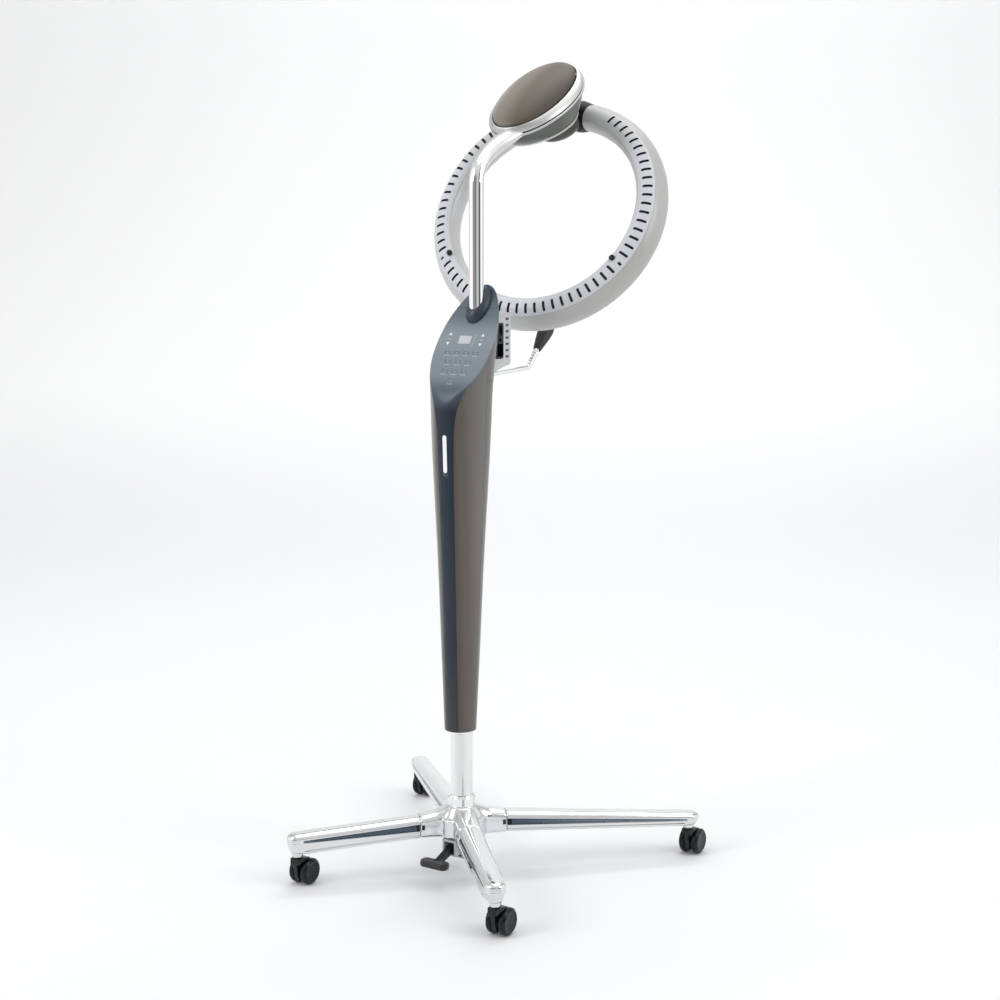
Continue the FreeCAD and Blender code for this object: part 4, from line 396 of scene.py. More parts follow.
def make_leg_mesh(tag, sx, sy):
    front = tag.startswith("front")
    L = math.hypot(sx, sy)
    az = math.atan2(sy, sx)
    tip_t = 105.0 if front else 91.0
    s0 = 84.3
    tab = [(s0, 22.0, 121.5, 83.0, 12.0, 108.5, 96.0, 4.6),
           (L, 19.5, tip_t, 66.5, 10.5 if front else 8.5, tip_t - (12.5 if front else 11.0), tip_t - (16.0 if front else 14.0), 2.6)]

    def prof(s):
        t = (s - s0) / (L - s0)
        v = [tab[0][k] * (1 - t) + tab[1][k] * t for k in range(1, 8)]
        w, zt, zb, c, g1, g2, dp = v
        # the flute starts square near the root and fades out short of the rounded end
        dp *= min(1.0, max(0.0, (L - 6.0 - s) / 34.0)) ** 0.7 if s > L - 40 else 1.0
        return leg_profile(w, zt, zb, c, g1, g2, dp)

    ss = [s0, s0 + 0.5, s0 + 1.0, s0 + 2.0]
    n = 46
    ss += [s0 + 2.0 + (L - s0 - 2.0) * i / n for i in range(1, n + 1)]
    P = [prof(s) for s in ss]
    nj = len(P[0])
    inset = {0: 1.2, 1: 0.35, 2: 0.0}
    rows = []
    # underside of the rounded end draws in towards the caster stem
    z1, zlow, pull = (tip_t - 21.0, 66.5, 0.36) if front else (tip_t - 14.5, 66.5, 0.27)

    def draw_in(s, z):
        return 1.0 - pull * min(1.0, max(0.0, (s - (L - 20.0)) / 20.0)) * min(1.0, max(0.0, (z1 - z) / (z1 - zlow))) ** 0.9

    for side in (1, -1):
        seq = list(range(len(ss))) if side == 1 else list(reversed(range(len(ss))))
        for i in seq:
            g = inset.get(i, 0.0)
            zm = (P[i][0][1] + P[i][-1][1]) / 2
            hz = (P[i][-1][1] - P[i][0][1]) / 2
            rows.append([V((ss[i], side * max(0.0, r - g * (r > 1)) * draw_in(ss[i], z), zm + (z - zm) * (1 - g / hz))) for r, z in P[i]])
        if side == 1:
            m = 26
            for k in range(1, m):
                ph = math.pi / 2 - math.pi * k / m
                rows.append([V((L + r * draw_in(L, z) * math.cos(ph), r * draw_in(L, z) * math.sin(ph), z)) for r, z in P[-1]])
    verts = [v for r in rows for v in r]
    faces = grid_faces(len(rows), nj)
    # root cap
    first, last = rows[0], rows[-1]
    base = len(verts)
    faces.append([j for j in range(nj)] + [(len(rows) - 1) * nj + j for j in range(nj - 2, 0, -1)])
    # boss for the caster stem
    bp = [(0.0, 57.6), (9.0, 57.6), (9.9, 58.0), (10.4, 58.8), (10.9, 61.0), (11.4, 63.8), (12.2, 66.3), (13.0, 68.0), (12.6, 69.6)]
    bv, bf = lathe(bp, 48)
    off = len(verts)
    verts += [v + V((L, 0, 0)) for v in bv]
    faces += [tuple(off + k for k in f) for f in bf]
    m4 = Matrix.Rotation(az, 4, "Z")
    verts = [(m4 @ v) * MM for v in verts]
    o = add_mesh("leg_cast_" + tag, verts, faces, M["alloy"], "base", True, 42, ["leg_" + tag])
    return o


STEMS = {"front_left": (-221.5, -225.3), "front_right": (221.5, -225.3), "rear_left": (-325.0, 318.0), "rear_right": (325.0, 318.0)}
for tag, (sx, sy) in STEMS.items():
    make_leg_mesh(tag, sx, sy)


def remesh_copy(node, name, voxel, smooth_iter, mat, body, factor=0.5, subsurf=0):
    """A blended copy of a CAD node: voxel remesh, then relax."""
    src = nodes[node]
    me = src.data.copy()
    me.name = name
    o = bpy.data.objects.new(name, me)
    scene.collection.objects.link(o)
    md = o.modifiers.new("remesh", "REMESH")
    md.mode = "VOXEL"
    md.voxel_size = voxel
    md.use_smooth_shade = True
    sm = o.modifiers.new("relax", "SMOOTH")
    sm.factor = factor
    sm.iterations = smooth_iter
    bpy.context.view_layer.update()
    ev = o.evaluated_get(bpy.context.evaluated_depsgraph_get())
    new = bpy.data.meshes.new_from_object(ev)
    o.modifiers.clear()
    o.data = new
    new.materials.clear()
    new.materials.append(mat)
    for p in new.polygons:
        p.use_smooth = True
        p.material_index = 0
    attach(o, body)
    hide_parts(node)
    return o


remesh_copy("base_hub", "hub_casting", 0.0015, 9, M["alloy"], "base")


# painted shade and reflection: the legs' recessed flutes get a dark blue-grey colour, paler on the rear-left leg; black
# nylon stops at the flute ends by the hub
def shade_flutes(o, front, L):
    o.data.materials.append(M["flute_pale" if "rear_left" in o.name else "flute"])
    o.data.materials.append(M["nylon"])
    az = math.atan2(*reversed(STEMS[o.name[9:]]))
    inv = Matrix.Rotation(-az, 4, "Z")
    s0 = 84.3
    tip_t = 105.0 if front else 91.0
    for p in o.data.polygons:
        c = inv @ (p.center / MM)
        t = (c.x - s0) / (L - s0)
        if t < 0.004 or c.x > L + 2:
            continue
        g1 = 108.5 * (1 - t) + (tip_t - (12.5 if front else 11.0)) * t
        g2 = 96.0 * (1 - t) + (tip_t - (16.0 if front else 14.0)) * t
        w = 22.0 * (1 - t) + 19.5 * t
        if g2 - 0.2 < c.z < g1 + 0.2 and abs(c.y) < w - 0.5:
            p.material_index = 2 if c.x < 92.0 else 1


for tag, (sx, sy) in STEMS.items():
    shade_flutes(bpy.data.objects["leg_cast_" + tag], tag.startswith("front"), math.hypot(sx, sy))


# small dark stops let into the hub's stubs where the flutes begin
def stub_stops():
    hub = bpy.data.objects["hub_casting"].data
    tree = BVHTree.FromPolygons([v.co.copy() for v in hub.vertices], [list(p.vertices) for p in hub.polygons])
    verts, faces = [], []
    for tag, (sx, sy) in STEMS.items():
        u = V((sx, sy, 0)).normalized()
        side = V((-u.y, u.x, 0))
        for sg in (1, -1):
            grid, ok = [], True
            ss = [75.5, 76.0, 77.5, 79.0, 80.5, 81.6, 82.2]
            zz = [97.2, 97.8, 99.6, 101.6, 103.6, 105.6, 107.0, 107.6]
            for i, s_ in enumerate(ss):
                for j, z_ in enumerate(zz):
                    o_ = (u * s_ + side * sg * 60.0 + V((0, 0, z_))) * MM
                    hit = tree.ray_cast(o_, -side * sg)
                    if hit[0] is None:
                        ok = False
                        break
                    edge = i in (0, len(ss) - 1) or j in (0, len(zz) - 1)
                    grid.append(hit[0] + side * sg * (-0.0004 if edge else 0.0003))
                if not ok:
                    break
            if not ok:
                continue
            off = len(verts)
            verts += grid
            faces += grid_faces(len(ss), len(zz), off=off)
    o = add_mesh("stub_stops", verts, faces, M["nylon"], "base", True, 40)


stub_stops()


# ---------------------------------------------------------------------------
# Casters: pairs of wheels with chamfered rims and dished faces
# ---------------------------------------------------------------------------
def make_wheels(tag):
    lo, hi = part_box("caster_wheels_" + tag)
    cx, cy, cz = (lo.x + hi.x) / 2 / MM, (lo.y + hi.y) / 2 / MM, (lo.z + hi.z) / 2 / MM
    R = (hi.z - lo.z) / 2 / MM
    half = (hi.x - lo.x) / 2 / MM
    verts, faces = [], []
    wide = 13.6
    for sgn in (-1, 1):
        x_out, x_in = half, half - wide
        prof = [(0.0, x_out - 0.9), (5.0, x_out - 0.8), (R - 10.0, x_out - 0.45), (R - 6.6, x_out - 0.3),
                (R - 6.2, x_out - 0.05), (R - 5.8, x_out), (R - 5.2, x_out - 0.1), (R - 4.8, x_out - 0.4), (R - 1.9, x_out - 2.2), (R - 1.2, x_out - 2.8), (R - 0.5, x_out - 3.6), (R - 0.05, x_out - 4.8), (R, x_out - 6.8),
                (R - 0.05, x_in + 3.6), (R - 0.5, x_in + 2.2), (R - 1.5, x_in + 1.0), (R - 3.0, x_in + 0.3), (R - 5.5, x_in), (R - 8.0, x_in + 0.2), (6.0, x_in + 0.8), (2.2, x_in + 0.8)]
        v, f = lathe(prof, 72)
        off = len(verts)
        for p in v:
            verts.append(V((cx + sgn * p.z, cy + p.x, cz + p.y)) * MM)
        faces += [tuple(off + k for k in q) for q in f]
    v, f = lathe([(0.0, -half + 2.0), (2.4, -half + 2.0), (2.4, half - 2.0), (0.0, half - 2.0)], 24)
    off = len(verts)
    verts += [V((cx + p.z, cy + p.x, cz + p.y)) * MM for p in v]
    faces += [tuple(off + k for k in q) for q in f]
    o = add_mesh("wheel_pair_" + tag, verts, faces, M["wheel"], "wheels_" + tag, True, 38, ["caster_wheels_" + tag])


for tag in STEMS:
    make_wheels(tag)


# ---------------------------------------------------------------------------
# Head: rim with groove, cap, bowl, neck and pole in one sweep
# ---------------------------------------------------------------------------
HM = Matrix.Translation((0, 0.261, 1.476)) @ Matrix.Rotation(math.radians(34.0), 4, "X")
E0, E1 = (73.2, 119.3), (88.0, 124.0)


def ring_band(name, prof, mat, body, n=160, sharp=30, replaces=()):
    """prof: (u, h); u 0..1 from the ellipse E0 to E1, h along the head's axis."""
    verts = []
    for i in range(n):
        a = 2 * math.pi * i / n
        for u, h in prof:
            ex, ek = E0[0] + (E1[0] - E0[0]) * u, E0[1] + (E1[1] - E0[1]) * u
            verts.append(HM @ (V((ex * math.sin(a), -ek * math.cos(a), h)) * MM))
    faces = grid_faces(n, len(prof), wrap_u=True, wrap_v=True)
    o = add_mesh(name, verts, faces, mat, body, True, sharp, replaces)
    return o


rim_prof = [(-0.05, -8.0), (-0.05, -1.0), (0.0, -0.6), (0.0, 3.4), (0.006, 4.2), (0.03, 4.8), (0.07, 4.9), (0.12, 4.7), (0.20, 4.2), (0.32, 3.3), (0.45, 2.1), (0.58, 0.5), (0.70, -1.4), (0.79, -3.2),
            (0.855, -4.9), (0.90, -6.4), (0.915, -7.0), (0.912, -7.4), (0.87, -7.6), (0.80, -7.8), (0.80, -9.6), (0.87, -9.8), (0.93, -9.9), (0.965, -10.2), (0.99, -10.8), (1.0, -11.7), (0.995, -12.7),
            (0.97, -13.9), (0.93, -14.7), (0.87, -15.1), (0.80, -15.2), (0.72, -14.8), (0.60, -13.4), (0.30, -11.0)]
rim_o = ring_band("rim_band", rim_prof, M["satin_chrome"], "column", 180, 34, ["head_rim"])
# the floor of the rim's groove gets the dark collar material: painted shade in the groove
rim_o.data.materials.append(M["collar"])
for p_ in rim_o.data.polygons:
    c_ = HM.inverted() @ p_.center / MM
    if -9.72 < c_.z < -7.66:
        p_.material_index = 1
gap_prof = [(-0.16, -6.0), (-0.16, 1.6), (0.01, 1.6), (0.01, -6.0)]
o = ring_band("cap_gasket", gap_prof, M["nylon"], "column", 120, 34)


def dome(name, a, b, h0, rise, mat, replaces, nr=26, n=144):
    verts, faces = [V((0, 0, h0 + rise))], []
    for j in range(1, nr + 1):
        t = math.pi / 2 * j / nr
        rr, hh = math.sin(t), math.cos(t)
        for i in range(n):
            al = 2 * math.pi * i / n
            verts.append(V((a * rr * math.sin(al), -b * rr * math.cos(al), h0 + rise * hh)))
    last = 1 + (nr - 1) * n
    for k, (f, dz) in enumerate([(0.9985, -0.7), (0.992, -1.6), (0.985, -4.0), (0.96, -4.0)]):
        for i in range(n):
            al = 2 * math.pi * i / n
            verts.append(V((a * f * math.sin(al), -b * f * math.cos(al), h0 + dz)))
    rows = nr + 4
    for i in range(n):
        faces.append((0, 1 + i, 1 + (i + 1) % n))
    for j in range(rows - 1):
        for i in range(n):
            p, q = 1 + j * n + i, 1 + j * n + (i + 1) % n
            faces.append((p, q, q + n, p + n))
    faces.append([1 + (rows - 1) * n + i for i in range(n)])
    verts = [HM @ (v * MM) for v in verts]
    o = add_mesh(name, verts, faces, mat, "column", True, 50, replaces)
    return o


dome("cap_dome", 71.0, 117.0, 5.0, 25.8, M["cap"], ["head_cap"])


def bowl():
    rows, n = [], 144
    prof = []
    m = 18
    for i in range(m + 1):
        t = i / m
        h = -12.5 - (46.0 - 12.5) * t
        f = max(0.0, 1 - t ** 2.6)
        prof.append((h, f, t))
    verts, faces = [], []
    for h, f, t in prof:
        ax, ak = 79.0 + (80.8 - 79.0) * f, 79.5 + (116.0 - 79.5) * f
        kc = -19.0 * (1 - f)
        for i in range(n):
            al = 2 * math.pi * i / n
            verts.append(V((ax * math.sin(al), kc - ak * math.cos(al), h)))
    for g, h in ((77.6, -46.6), (70.0, -46.8), (16.0, -46.9)):
        for i in range(n):
            al = 2 * math.pi * i / n
            kc = -19.0 if g > 20 else 42.0
            verts.append(V((g * math.sin(al), kc - g * math.cos(al), h)))
    R_ = len(prof) + 3
    for j in range(R_ - 1):
        for i in range(n):
            p, q = j * n + i, j * n + (i + 1) % n
            faces.append((p, q, q + n, p + n))
    verts = [HM @ (v * MM) for v in verts]
    o = add_mesh("dish_bowl", verts, faces, M["dish"], "column", True, 40, ["drive_housing"])


bowl()


def sweep_sections(name, secs, mat, body, replaces, n=72, notch=None, sharp=38, cap_ends=True):
    """secs: (centre y, centre z, tangent angle, half x, half n, notch depth) in mm in the YZ plane."""
    verts = []
    for y, z, ta, a, b, nd in secs:
        nv = V((0, -math.sin(ta), math.cos(ta)))
        for i in range(n):
            al = 2 * math.pi * i / n
            r = 1.0
            if nd > 0 and notch:
                for c0 in notch:
                    d = abs((math.degrees(al) - c0 + 180) % 360 - 180)
                    if d < 4.0:
                        r -= nd * max(0.0, 1 - (d / 4.0) ** 2) / max(a, b)
            verts.append((V((a * r * math.cos(al), y, z)) + nv * (b * r * math.sin(al))) * MM)
    faces = grid_faces(len(secs), n, wrap_v=True)
    if cap_ends:
        faces.append(list(range(n)))
        faces.append([(len(secs) - 1) * n + i for i in range(n)])
    o = add_mesh(name, verts, faces, mat, body, True, sharp, replaces)
    return o


def arm():
    """Pole from the casing up, its bend, and the neck that flattens into the rim."""
    key = [(0.0, 54.5, 1030.0), (250.0, 54.5, 1280.0), (280.0, 54.9, 1308.0), (305.0, 60.5, 1330.0), (335.0, 78.0, 1351.0), (365.0, 101.0, 1366.5), (395.0, 124.5, 1378.5), (425.0, 147.6, 1389.4), (455.0, 171.8, 1402.4), (490.0, 200.5, 1419.8)]
    size = [(0.0, 14.0, 14.0, 0.0), (325.0, 14.0, 14.0, 0.0), (350.0, 14.4, 14.2, 0.5), (375.0, 15.2, 14.4, 1.0), (400.0, 16.8, 14.4, 1.3), (425.0, 20.4, 14.0, 1.4), (450.0, 27.0, 12.0, 1.2), (475.0, 36.0, 9.8, 0.8), (490.0, 42.0, 8.6, 0.4)]
    ss = [0.0, 100.0, 200.0] + [240.0 + 2.5 * i for i in range(101)]
    pts = [lerp_table(key, s) for s in ss]
    secs = []
    for i, s in enumerate(ss):
        p0, p1 = pts[max(0, i - 1)], pts[min(len(pts) - 1, i + 1)]
        ta = math.atan2(p1[1] - p0[1], p1[0] - p0[0])
        a, b, nd = lerp_table(size, s)
        secs.append((pts[i][0], pts[i][1], ta, a, b, nd))
    sweep_sections("pole_sweep", secs, M["pole"], "column", ["pole_arm", "head_neck"], 96, (-14, 194), 30)


arm()


# ---------------------------------------------------------------------------
# Rear handle: plain rod, then a ribbed length up to the grip
# ---------------------------------------------------------------------------
def handle():
    # straight rod, bend of 16 mm, then straight up to the grip
    gy, gz = 57.6, 61.0
    gl = math.hypot(gy, gz)
    gy, gz = gy / gl, gz / gl
    hy, hz = 188.0, 6.5
    hl = math.hypot(hy, hz)
    hy, hz = hy / hl, hz / hl
    a0, a1 = math.atan2(hz, hy), math.atan2(gz, gy)
    turn = a1 - a0
    tl = 16.0 * math.tan(turn / 2.0)
    by, bz = 238.0 - hy * tl, 957.5 - hz * tl          # bend start
    L0 = math.hypot(by - 45.0, bz - (951.0 - 5.0 * hz / hy))
    arc = 16.0 * turn
    end = L0 + arc + 58.0 - tl

    def at(s_):
        if s_ <= L0:
            return by - hy * (L0 - s_), bz - hz * (L0 - s_), a0
        if s_ <= L0 + arc:
            t = (s_ - L0) / 16.0
            cy_, cz_ = by - 16.0 * math.sin(a0), bz + 16.0 * math.cos(a0)
            return cy_ + 16.0 * math.sin(a0 + t), cz_ - 16.0 * math.cos(a0 + t), a0 + t
        d = s_ - L0 - arc
        return 238.0 + gy * (tl + d), 957.5 + gz * (tl + d), a1

    ss = [0.0, 10.0, 30.0, 60.0, 90.0, 120.0, 150.0] + [170.0 + 0.7 * i for i in range(int((end - 170.0) / 0.7))]
    secs = []
    r0, r1 = L0 + arc + 2.0, L0 + arc + 34.0           # ribbed length
    for s_ in ss:
        y, z, ta = at(s_)
        r = 5.4
        if r0 < s_ < r1:
            r = 5.5 + 0.9 * abs(math.sin(math.pi * (s_ - r0) / 8.0)) ** 0.6
        secs.append((y, z, ta, r, r, 0.0))
    sweep_sections("handle_rod_ribbed", secs, M["chrome"], "column", ["rear_handle_rod"], 40, None, 50)


handle()


# ---------------------------------------------------------------------------
# Boot round the pole, and a dark sheet behind the ring's slots as painted shade
# ---------------------------------------------------------------------------
PM = Matrix.Translation((0, 0.090, 1.122)) @ Matrix.Rotation(math.radians(54.5), 4, "X")


def boot():
    n, prof = 112, [(-2.6, 40.4, 24.4), (0.2, 40.3, 24.3), (0.9, 40.0, 24.0), (1.1, 39.4, 23.4)]
    for i in range(1, 15):
        t = i / 14
        prof.append((1.1 + 13.6 * math.sin(t * math.pi / 2) ** 1.1, 39.4 - 22.0 * (1 - math.cos(t * math.pi / 2)) ** 0.92, 23.4 - 14.6 * (1 - math.cos(t * math.pi / 2)) ** 0.92))
    verts = []
    for z, b, a in prof:
        for i in range(n):
            al = 2 * math.pi * i / n
            verts.append(PM @ (V((a * math.cos(al), -46.0 + b * math.sin(al), z)) * MM))
    faces = grid_faces(len(prof), n, wrap_v=True)
    faces.append([(len(prof) - 1) * n + i for i in range(n)])
    o = add_mesh("pole_boot", verts, faces, M["boot"], "column", True, 40, ["pole_grommet"])


boot()
RM = Matrix.Translation((0, 0.3076, 1.2554)) @ Matrix.Rotation(math.radians(6.5), 4, "Z") @ Matrix.Rotation(math.radians(63.3), 4, "X")


def ring_strip(name, psi0, psi1, ins, a0, a1, mat, thick=0.5, npsi=14, n=240):
    A_, B_ = 35.6 - ins, 26.4 - ins
    verts = []
    for i in range(n + 1):
        a = math.radians(a0 + (a1 - a0) * i / n)
        row = []
        for d in (0.0, thick):
            rng = range(npsi + 1) if d == 0 else reversed(range(npsi + 1))
            for j in rng:
                ps = math.radians(psi0 + (psi1 - psi0) * j / npsi)
                x = 217.0 + 0.40 * (-(A_ - d) * math.cos(ps)) + 0.9165 * ((B_ - d) * math.sin(ps))
                z = -0.9165 * (-(A_ - d) * math.cos(ps)) + 0.40 * ((B_ - d) * math.sin(ps))
                row.append(V((x, 0, z)))
        ca, sa = math.cos(a), math.sin(a)
        verts += [RM @ (V((p.x * ca, p.x * sa, p.z)) * MM) for p in row]
    m = 2 * (npsi + 1)
    faces = grid_faces(n + 1, m, wrap_v=True)
    faces.append(list(range(m)))
    faces.append([n * m + k for k in range(m)])
    o = add_mesh(name, verts, faces, mat, "ring", True, 40)
    return o


# dark sheet inside the ring just behind the slots: painted shade
ring_strip("slot_screen", 5.0, 60.0, 3.1, 63.0, -241.0, M["screen"], 0.5, 14, 240)


# ---------------------------------------------------------------------------
# Control face: printed key fields, scale ticks and joint line
# ---------------------------------------------------------------------------
def plates(name, rects, mat, n0, n1, corner=0.0):
    """rects: (x, s, half x, half s, skew); thin raised plates in the panel's frame, with cut corners."""
    verts, faces = [], []
    for x, s, hx, hs, sk in rects:
        c = min(corner, hx * 0.45, hs * 0.45)
        out = [(-hx + c, -hs), (hx - c, -hs), (hx, -hs + c), (hx, hs - c), (hx - c, hs), (-hx + c, hs), (-hx, hs - c), (-hx, -hs + c)]
        off = len(verts)
        for z, g in ((n0, 0.0), (n1 - 0.02, 0.0), (n1, 0.04)):
            for px, ps in out:
                k = 1 - g / max(hx, hs)
                verts.append(PM @ (V((x + px * k + sk * ps, s + ps * k, z)) * MM))
        for r in range(2):
            for i in range(8):
                a, b = off + r * 8 + i, off + r * 8 + (i + 1) % 8
                faces.append((a, b, b + 8, a + 8))
        faces.append([off + 16 + i for i in range(8)])
        faces.append([off + i for i in reversed(range(8))])
    o = add_mesh(name, verts, faces, mat, "column", False)
    return o


rows_ = [(-150.5, (-30.0, -9.5, 10.5, 31.0), 7.6), (-170.5, (-22.0, 0.0, 22.5), 7.6), (-191.0, (-21.0, 0.5, 21.5), 7.6), (-211.5, (0.5,), 7.6)]
pads, marks, dots = [], [], []
for s_, xs, hw in rows_:
    for x_ in xs:
        pads.append((x_, s_, hw, 3.1, 0.0))
        dots.append((x_ - hw + 1.2, s_ + 5.6, 0.6, 0.6, 0.0))
        marks.append((x_ + 0.6, s_ + 0.2, 2.0, 0.22, 0.0))
        marks.append((x_ + 0.6, s_ - 1.2, 1.2, 0.22, 0.0))
        for k_ in range(4):
            marks.append((x_ - 4.5 + 3.0 * k_, s_ - 6.2, 0.95, 0.5, 0.18))
for k_ in range(9):
    marks.append((17.6 + (0.5 if k_ % 2 else 0.0), -111.0 - 2.9 * k_, 1.5 if k_ % 2 == 0 else 1.0, 0.35, 0.0))
marks += [(-37.3, -121.2, 3.0, 0.45, 0.0), (34.2, -121.6, 3.0, 0.45, 0.0)]
plates("key_fields", pads, M["field"], -0.05, 0.10, 1.2)
plates("key_marks", marks, M["print"], -0.05, 0.14, 0.2)
plates("key_lamps", dots, M["nylon"], -0.05, 0.16, 0.5)
seam = [(35.2, -51.6, 9.6, 0.32, 0.0), (-35.2, -51.6, 9.6, 0.32, 0.0)]
plates("face_joint", seam, M["nylon"], -0.05, 0.05, 0.0)


# ---------------------------------------------------------------------------
# Fascia: same surface, with the edge between strip and face rounded in its shading
# ---------------------------------------------------------------------------
def soft_fascia():
    me = nodes["front_fascia"].data.copy()
    me.name = "fascia_soft"
    bm = bmesh.new()
    bm.from_mesh(me)
    bmesh.ops.remove_doubles(bm, verts=bm.verts, dist=1e-6)
    for k in range(5):
        es = [e for e in bm.edges if 0.86 < (e.verts[0].co.z + e.verts[1].co.z) / 2 < 1.02 and e.calc_length() > 0.0055]
        if not es:
            break
        bmesh.ops.subdivide_edges(bm, edges=es, cuts=1, use_grid_fill=False)
        bmesh.ops.triangulate(bm, faces=[f for f in bm.faces if len(f.verts) > 3])
    bm.to_mesh(me)
    bm.free()
    for p in me.polygons:
        p.use_smooth = True
    me.set_sharp_from_angle(angle=math.radians(42))
    near = [p for p in me.polygons if 0.85 < p.center.z < 1.03]
    kd = KDTree(len(near))
    for i, p in enumerate(near):
        kd.insert(p.center, i)
    kd.balance()
    out = [None] * len(me.loops)
    cn = [c.vector.copy() for c in me.corner_normals]
    R_ = 0.013
    face_n = V((0.0, -0.814116, 0.580703))
    for p in me.polygons:
        for li in p.loop_indices:
            co = me.vertices[me.loops[li].vertex_index].co
            n0 = cn[li]
            w = min(1.0, max(0.0, (co.z - 0.862) / 0.02)) * min(1.0, max(0.0, (1.01 - co.z) / 0.02))
            if w > 0.0:
                acc = V((0, 0, 0))
                for c, i, d in kd.find_range(co, R_):
                    q_ = near[i]
                    if q_.normal.dot(p.normal) > 0.5:
                        acc += q_.normal * (q_.area * (1 - d / R_))
                if acc.length > 1e-12:
                    n0 = (n0 * (1 - w) + acc.normalized() * w).normalized()
            if p.normal.dot(face_n) > 0.9985:
                # the flat part of the control face stays flat in its shading
                w = min(1.0, max(0.0, (co.z - 0.968) / 0.03))
                n0 = (n0 * (1 - w) + face_n * w).normalized()
            out[li] = tuple(n0)
    me.normals_split_custom_set(out)
    o = bpy.data.objects.new("fascia_soft", me)
    scene.collection.objects.link(o)
    me.materials.clear()
    me.materials.append(M["slate"])
    for p in me.polygons:
        p.material_index = 0
    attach(o, "column")
    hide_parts("front_fascia")


soft_fascia()


# ---------------------------------------------------------------------------
# Stage: pale floor that runs up into a backdrop, soft light, camera
# ---------------------------------------------------------------------------
def make_floor():
    bm = bmesh.new()
    th = math.radians(32.74)
    back = V((-math.sin(th), math.cos(th), 0))
    side = V((math.cos(th), math.sin(th), 0))
    prof = [(-9.0, 0.0), (3.2, 0.0)]
    for i in range(1, 13):
        a = math.radians(90.0 * i / 12)
        prof.append((3.2 + 2.2 * math.sin(a), 2.2 * (1 - math.cos(a))))
    prof.append((5.4, 9.0))
    rows = []
    for d, z in prof:
        rows.append([bm.verts.new(back * d + side * s + V((0, 0, z))) for s in (-9.0, -3.0, 3.0, 9.0)])
    for a, b in zip(rows, rows[1:]):
        for i in range(3):
            bm.faces.new((a[i], a[i + 1], b[i + 1], b[i]))
    bmesh.ops.recalc_face_normals(bm, faces=bm.faces)
    me = bpy.data.meshes.new("floor")
    bm.to_mesh(me)
    bm.free()
    o = bpy.data.objects.new("floor", me)
    scene.collection.objects.link(o)
    for p in me.polygons:
        p.use_smooth = True
    # floor colour is darker on the floor and paler up the cove to the backdrop: painted light
    me.materials.append(material("floor_pale", (0.86, 0.865, 0.875), 0.75, 0.0, 0.01, 0.6, 0.02, 60.0, 0.03, 3.0, ramp=(2, [(0.0, (0.80, 0.805, 0.815)), (0.6, (0.93, 0.935, 0.94)), (9.0, (0.95, 0.955, 0.96))])))
    return o


make_floor()

w = bpy.data.worlds.new("studio")
scene.world = w
w.use_nodes = True
nt = w.node_tree
bg = nt.nodes["Background"]
tc = nt.nodes.new("ShaderNodeTexCoord")
sp = nt.nodes.new("ShaderNodeSeparateXYZ")
nt.links.new(tc.outputs["Generated"], sp.inputs[0])


def wmath(op, a, b=None):
    n = nt.nodes.new("ShaderNodeMath")
    n.operation = op
    for i, v in enumerate((a, b)):
        if v is None:
            continue
        if isinstance(v, float):
            n.inputs[i].default_value = v
        else:
            nt.links.new(v, n.inputs[i])
    return n.outputs[0]


def wramp(v, stops):
    r = nt.nodes.new("ShaderNodeValToRGB")
    nt.links.new(v, r.inputs["Fac"])
    cr = r.color_ramp
    cr.interpolation = "EASE"
    while len(cr.elements) < len(stops):
        cr.elements.new(0.5)
    for e, (p, c) in zip(cr.elements, stops):
        e.position = p
        e.color = (c[0], c[1], c[2], 1)
    return r.outputs["Color"]


# the room round the set: white walls with a few darker openings; 0..1 round the horizon, 0.5 at -Y
azi = wmath("ADD", wmath("DIVIDE", wmath("ARCTAN2", sp.outputs[0], wmath("MULTIPLY", sp.outputs[1], -1.0)), 2 * math.pi), 0.5)
hgt = wmath("ADD", wmath("MULTIPLY", sp.outputs[2], 0.5), 0.5)
G = lambda v, b=0.0: (v, v * (1 + b * 0.5), v * (1 + b))
around = wramp(azi, [(0.0, G(0.98)), (0.34, G(1.05)), (0.41, G(1.05)), (0.445, G(0.34, -0.08)), (0.53, G(0.24, -0.08)), (0.575, G(0.20, -0.05)), (0.612, G(0.55)), (0.668, G(0.60)),
                     (0.70, G(0.10, 0.15)), (0.748, G(0.10, 0.15)), (0.79, G(0.98)), (0.90, G(1.0)), (1.0, G(0.98))])
upward = wramp(hgt, [(0.0, G(0.75)), (0.42, G(0.70)), (0.66, G(0.80)), (0.84, G(0.72)), (1.0, G(0.66))])
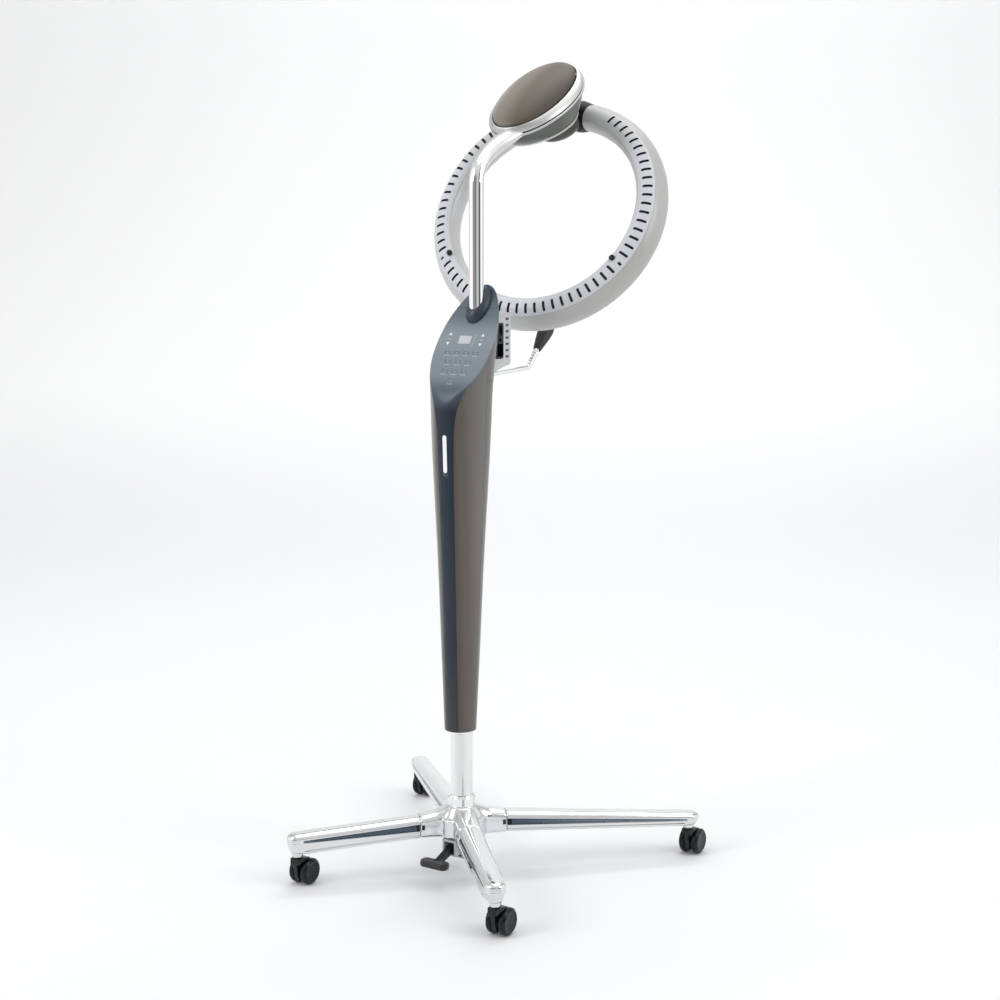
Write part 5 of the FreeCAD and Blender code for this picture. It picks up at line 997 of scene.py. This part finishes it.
mx = nt.nodes.new("ShaderNodeMix")
mx.data_type = "RGBA"
mr = nt.nodes.new("ShaderNodeMapRange")
mr.inputs["From Min"].default_value = 0.68
mr.inputs["From Max"].default_value = 0.84
nt.links.new(hgt, mr.inputs["Value"])
nt.links.new(mr.outputs["Result"], mx.inputs["Factor"])
nt.links.new(around, mx.inputs["A"])
nt.links.new(upward, mx.inputs["B"])
nt.links.new(mx.outputs["Result"], bg.inputs["Color"])
bg.inputs["Strength"].default_value = 1.127


def area(name, pos, target, size, power, color=(1, 1, 1)):
    d = bpy.data.lights.new(name, "AREA")
    d.shape = "RECTANGLE"
    d.size, d.size_y = size
    d.energy = power
    d.color = color
    o = bpy.data.objects.new(name, d)
    scene.collection.objects.link(o)
    o.location = pos
    o.rotation_mode = "QUATERNION"
    o.rotation_quaternion = (V(target) - V(pos)).to_track_quat("-Z", "Y")
    return o


area("key_light", (-1.9, -3.2, 3.0), (0, 0, 0.8), (1.4, 2.0), 52.5)
area("side_light", (3.3, 0.4, 2.6), (0, 0, 0.9), (1.2, 2.2), 34.0)
area("top_light", (0.2, 0.4, 3.8), (0, 0.1, 0.8), (3.0, 3.0), 22.3)
area("backdrop_light", (-0.6, 2.6, 5.2), (-2.8, 4.2, 1.2), (3.6, 1.2), 78.6)

th = math.radians(32.74)
pt = math.radians(8.76)
f0 = V((-math.sin(th), math.cos(th), 0))
fwd = f0 * math.cos(pt) + V((0, 0, -math.sin(pt)))
right = V((math.cos(th), math.sin(th), 0))
up = right.cross(fwd)
cam_d = bpy.data.cameras.new("camera")
cam_d.sensor_width = 36.0
cam_d.lens = 1685.5 / 1000.0 * 36.0
cam_d.clip_end = 60.0
cam = bpy.data.objects.new("camera", cam_d)
scene.collection.objects.link(cam)
cam.matrix_world = Matrix(((right.x, up.x, -fwd.x, 1.7404), (right.y, up.y, -fwd.y, -2.5717), (right.z, up.z, -fwd.z, 1.2041), (0, 0, 0, 1)))
scene.camera = cam
scene.view_settings.view_transform = "Standard"
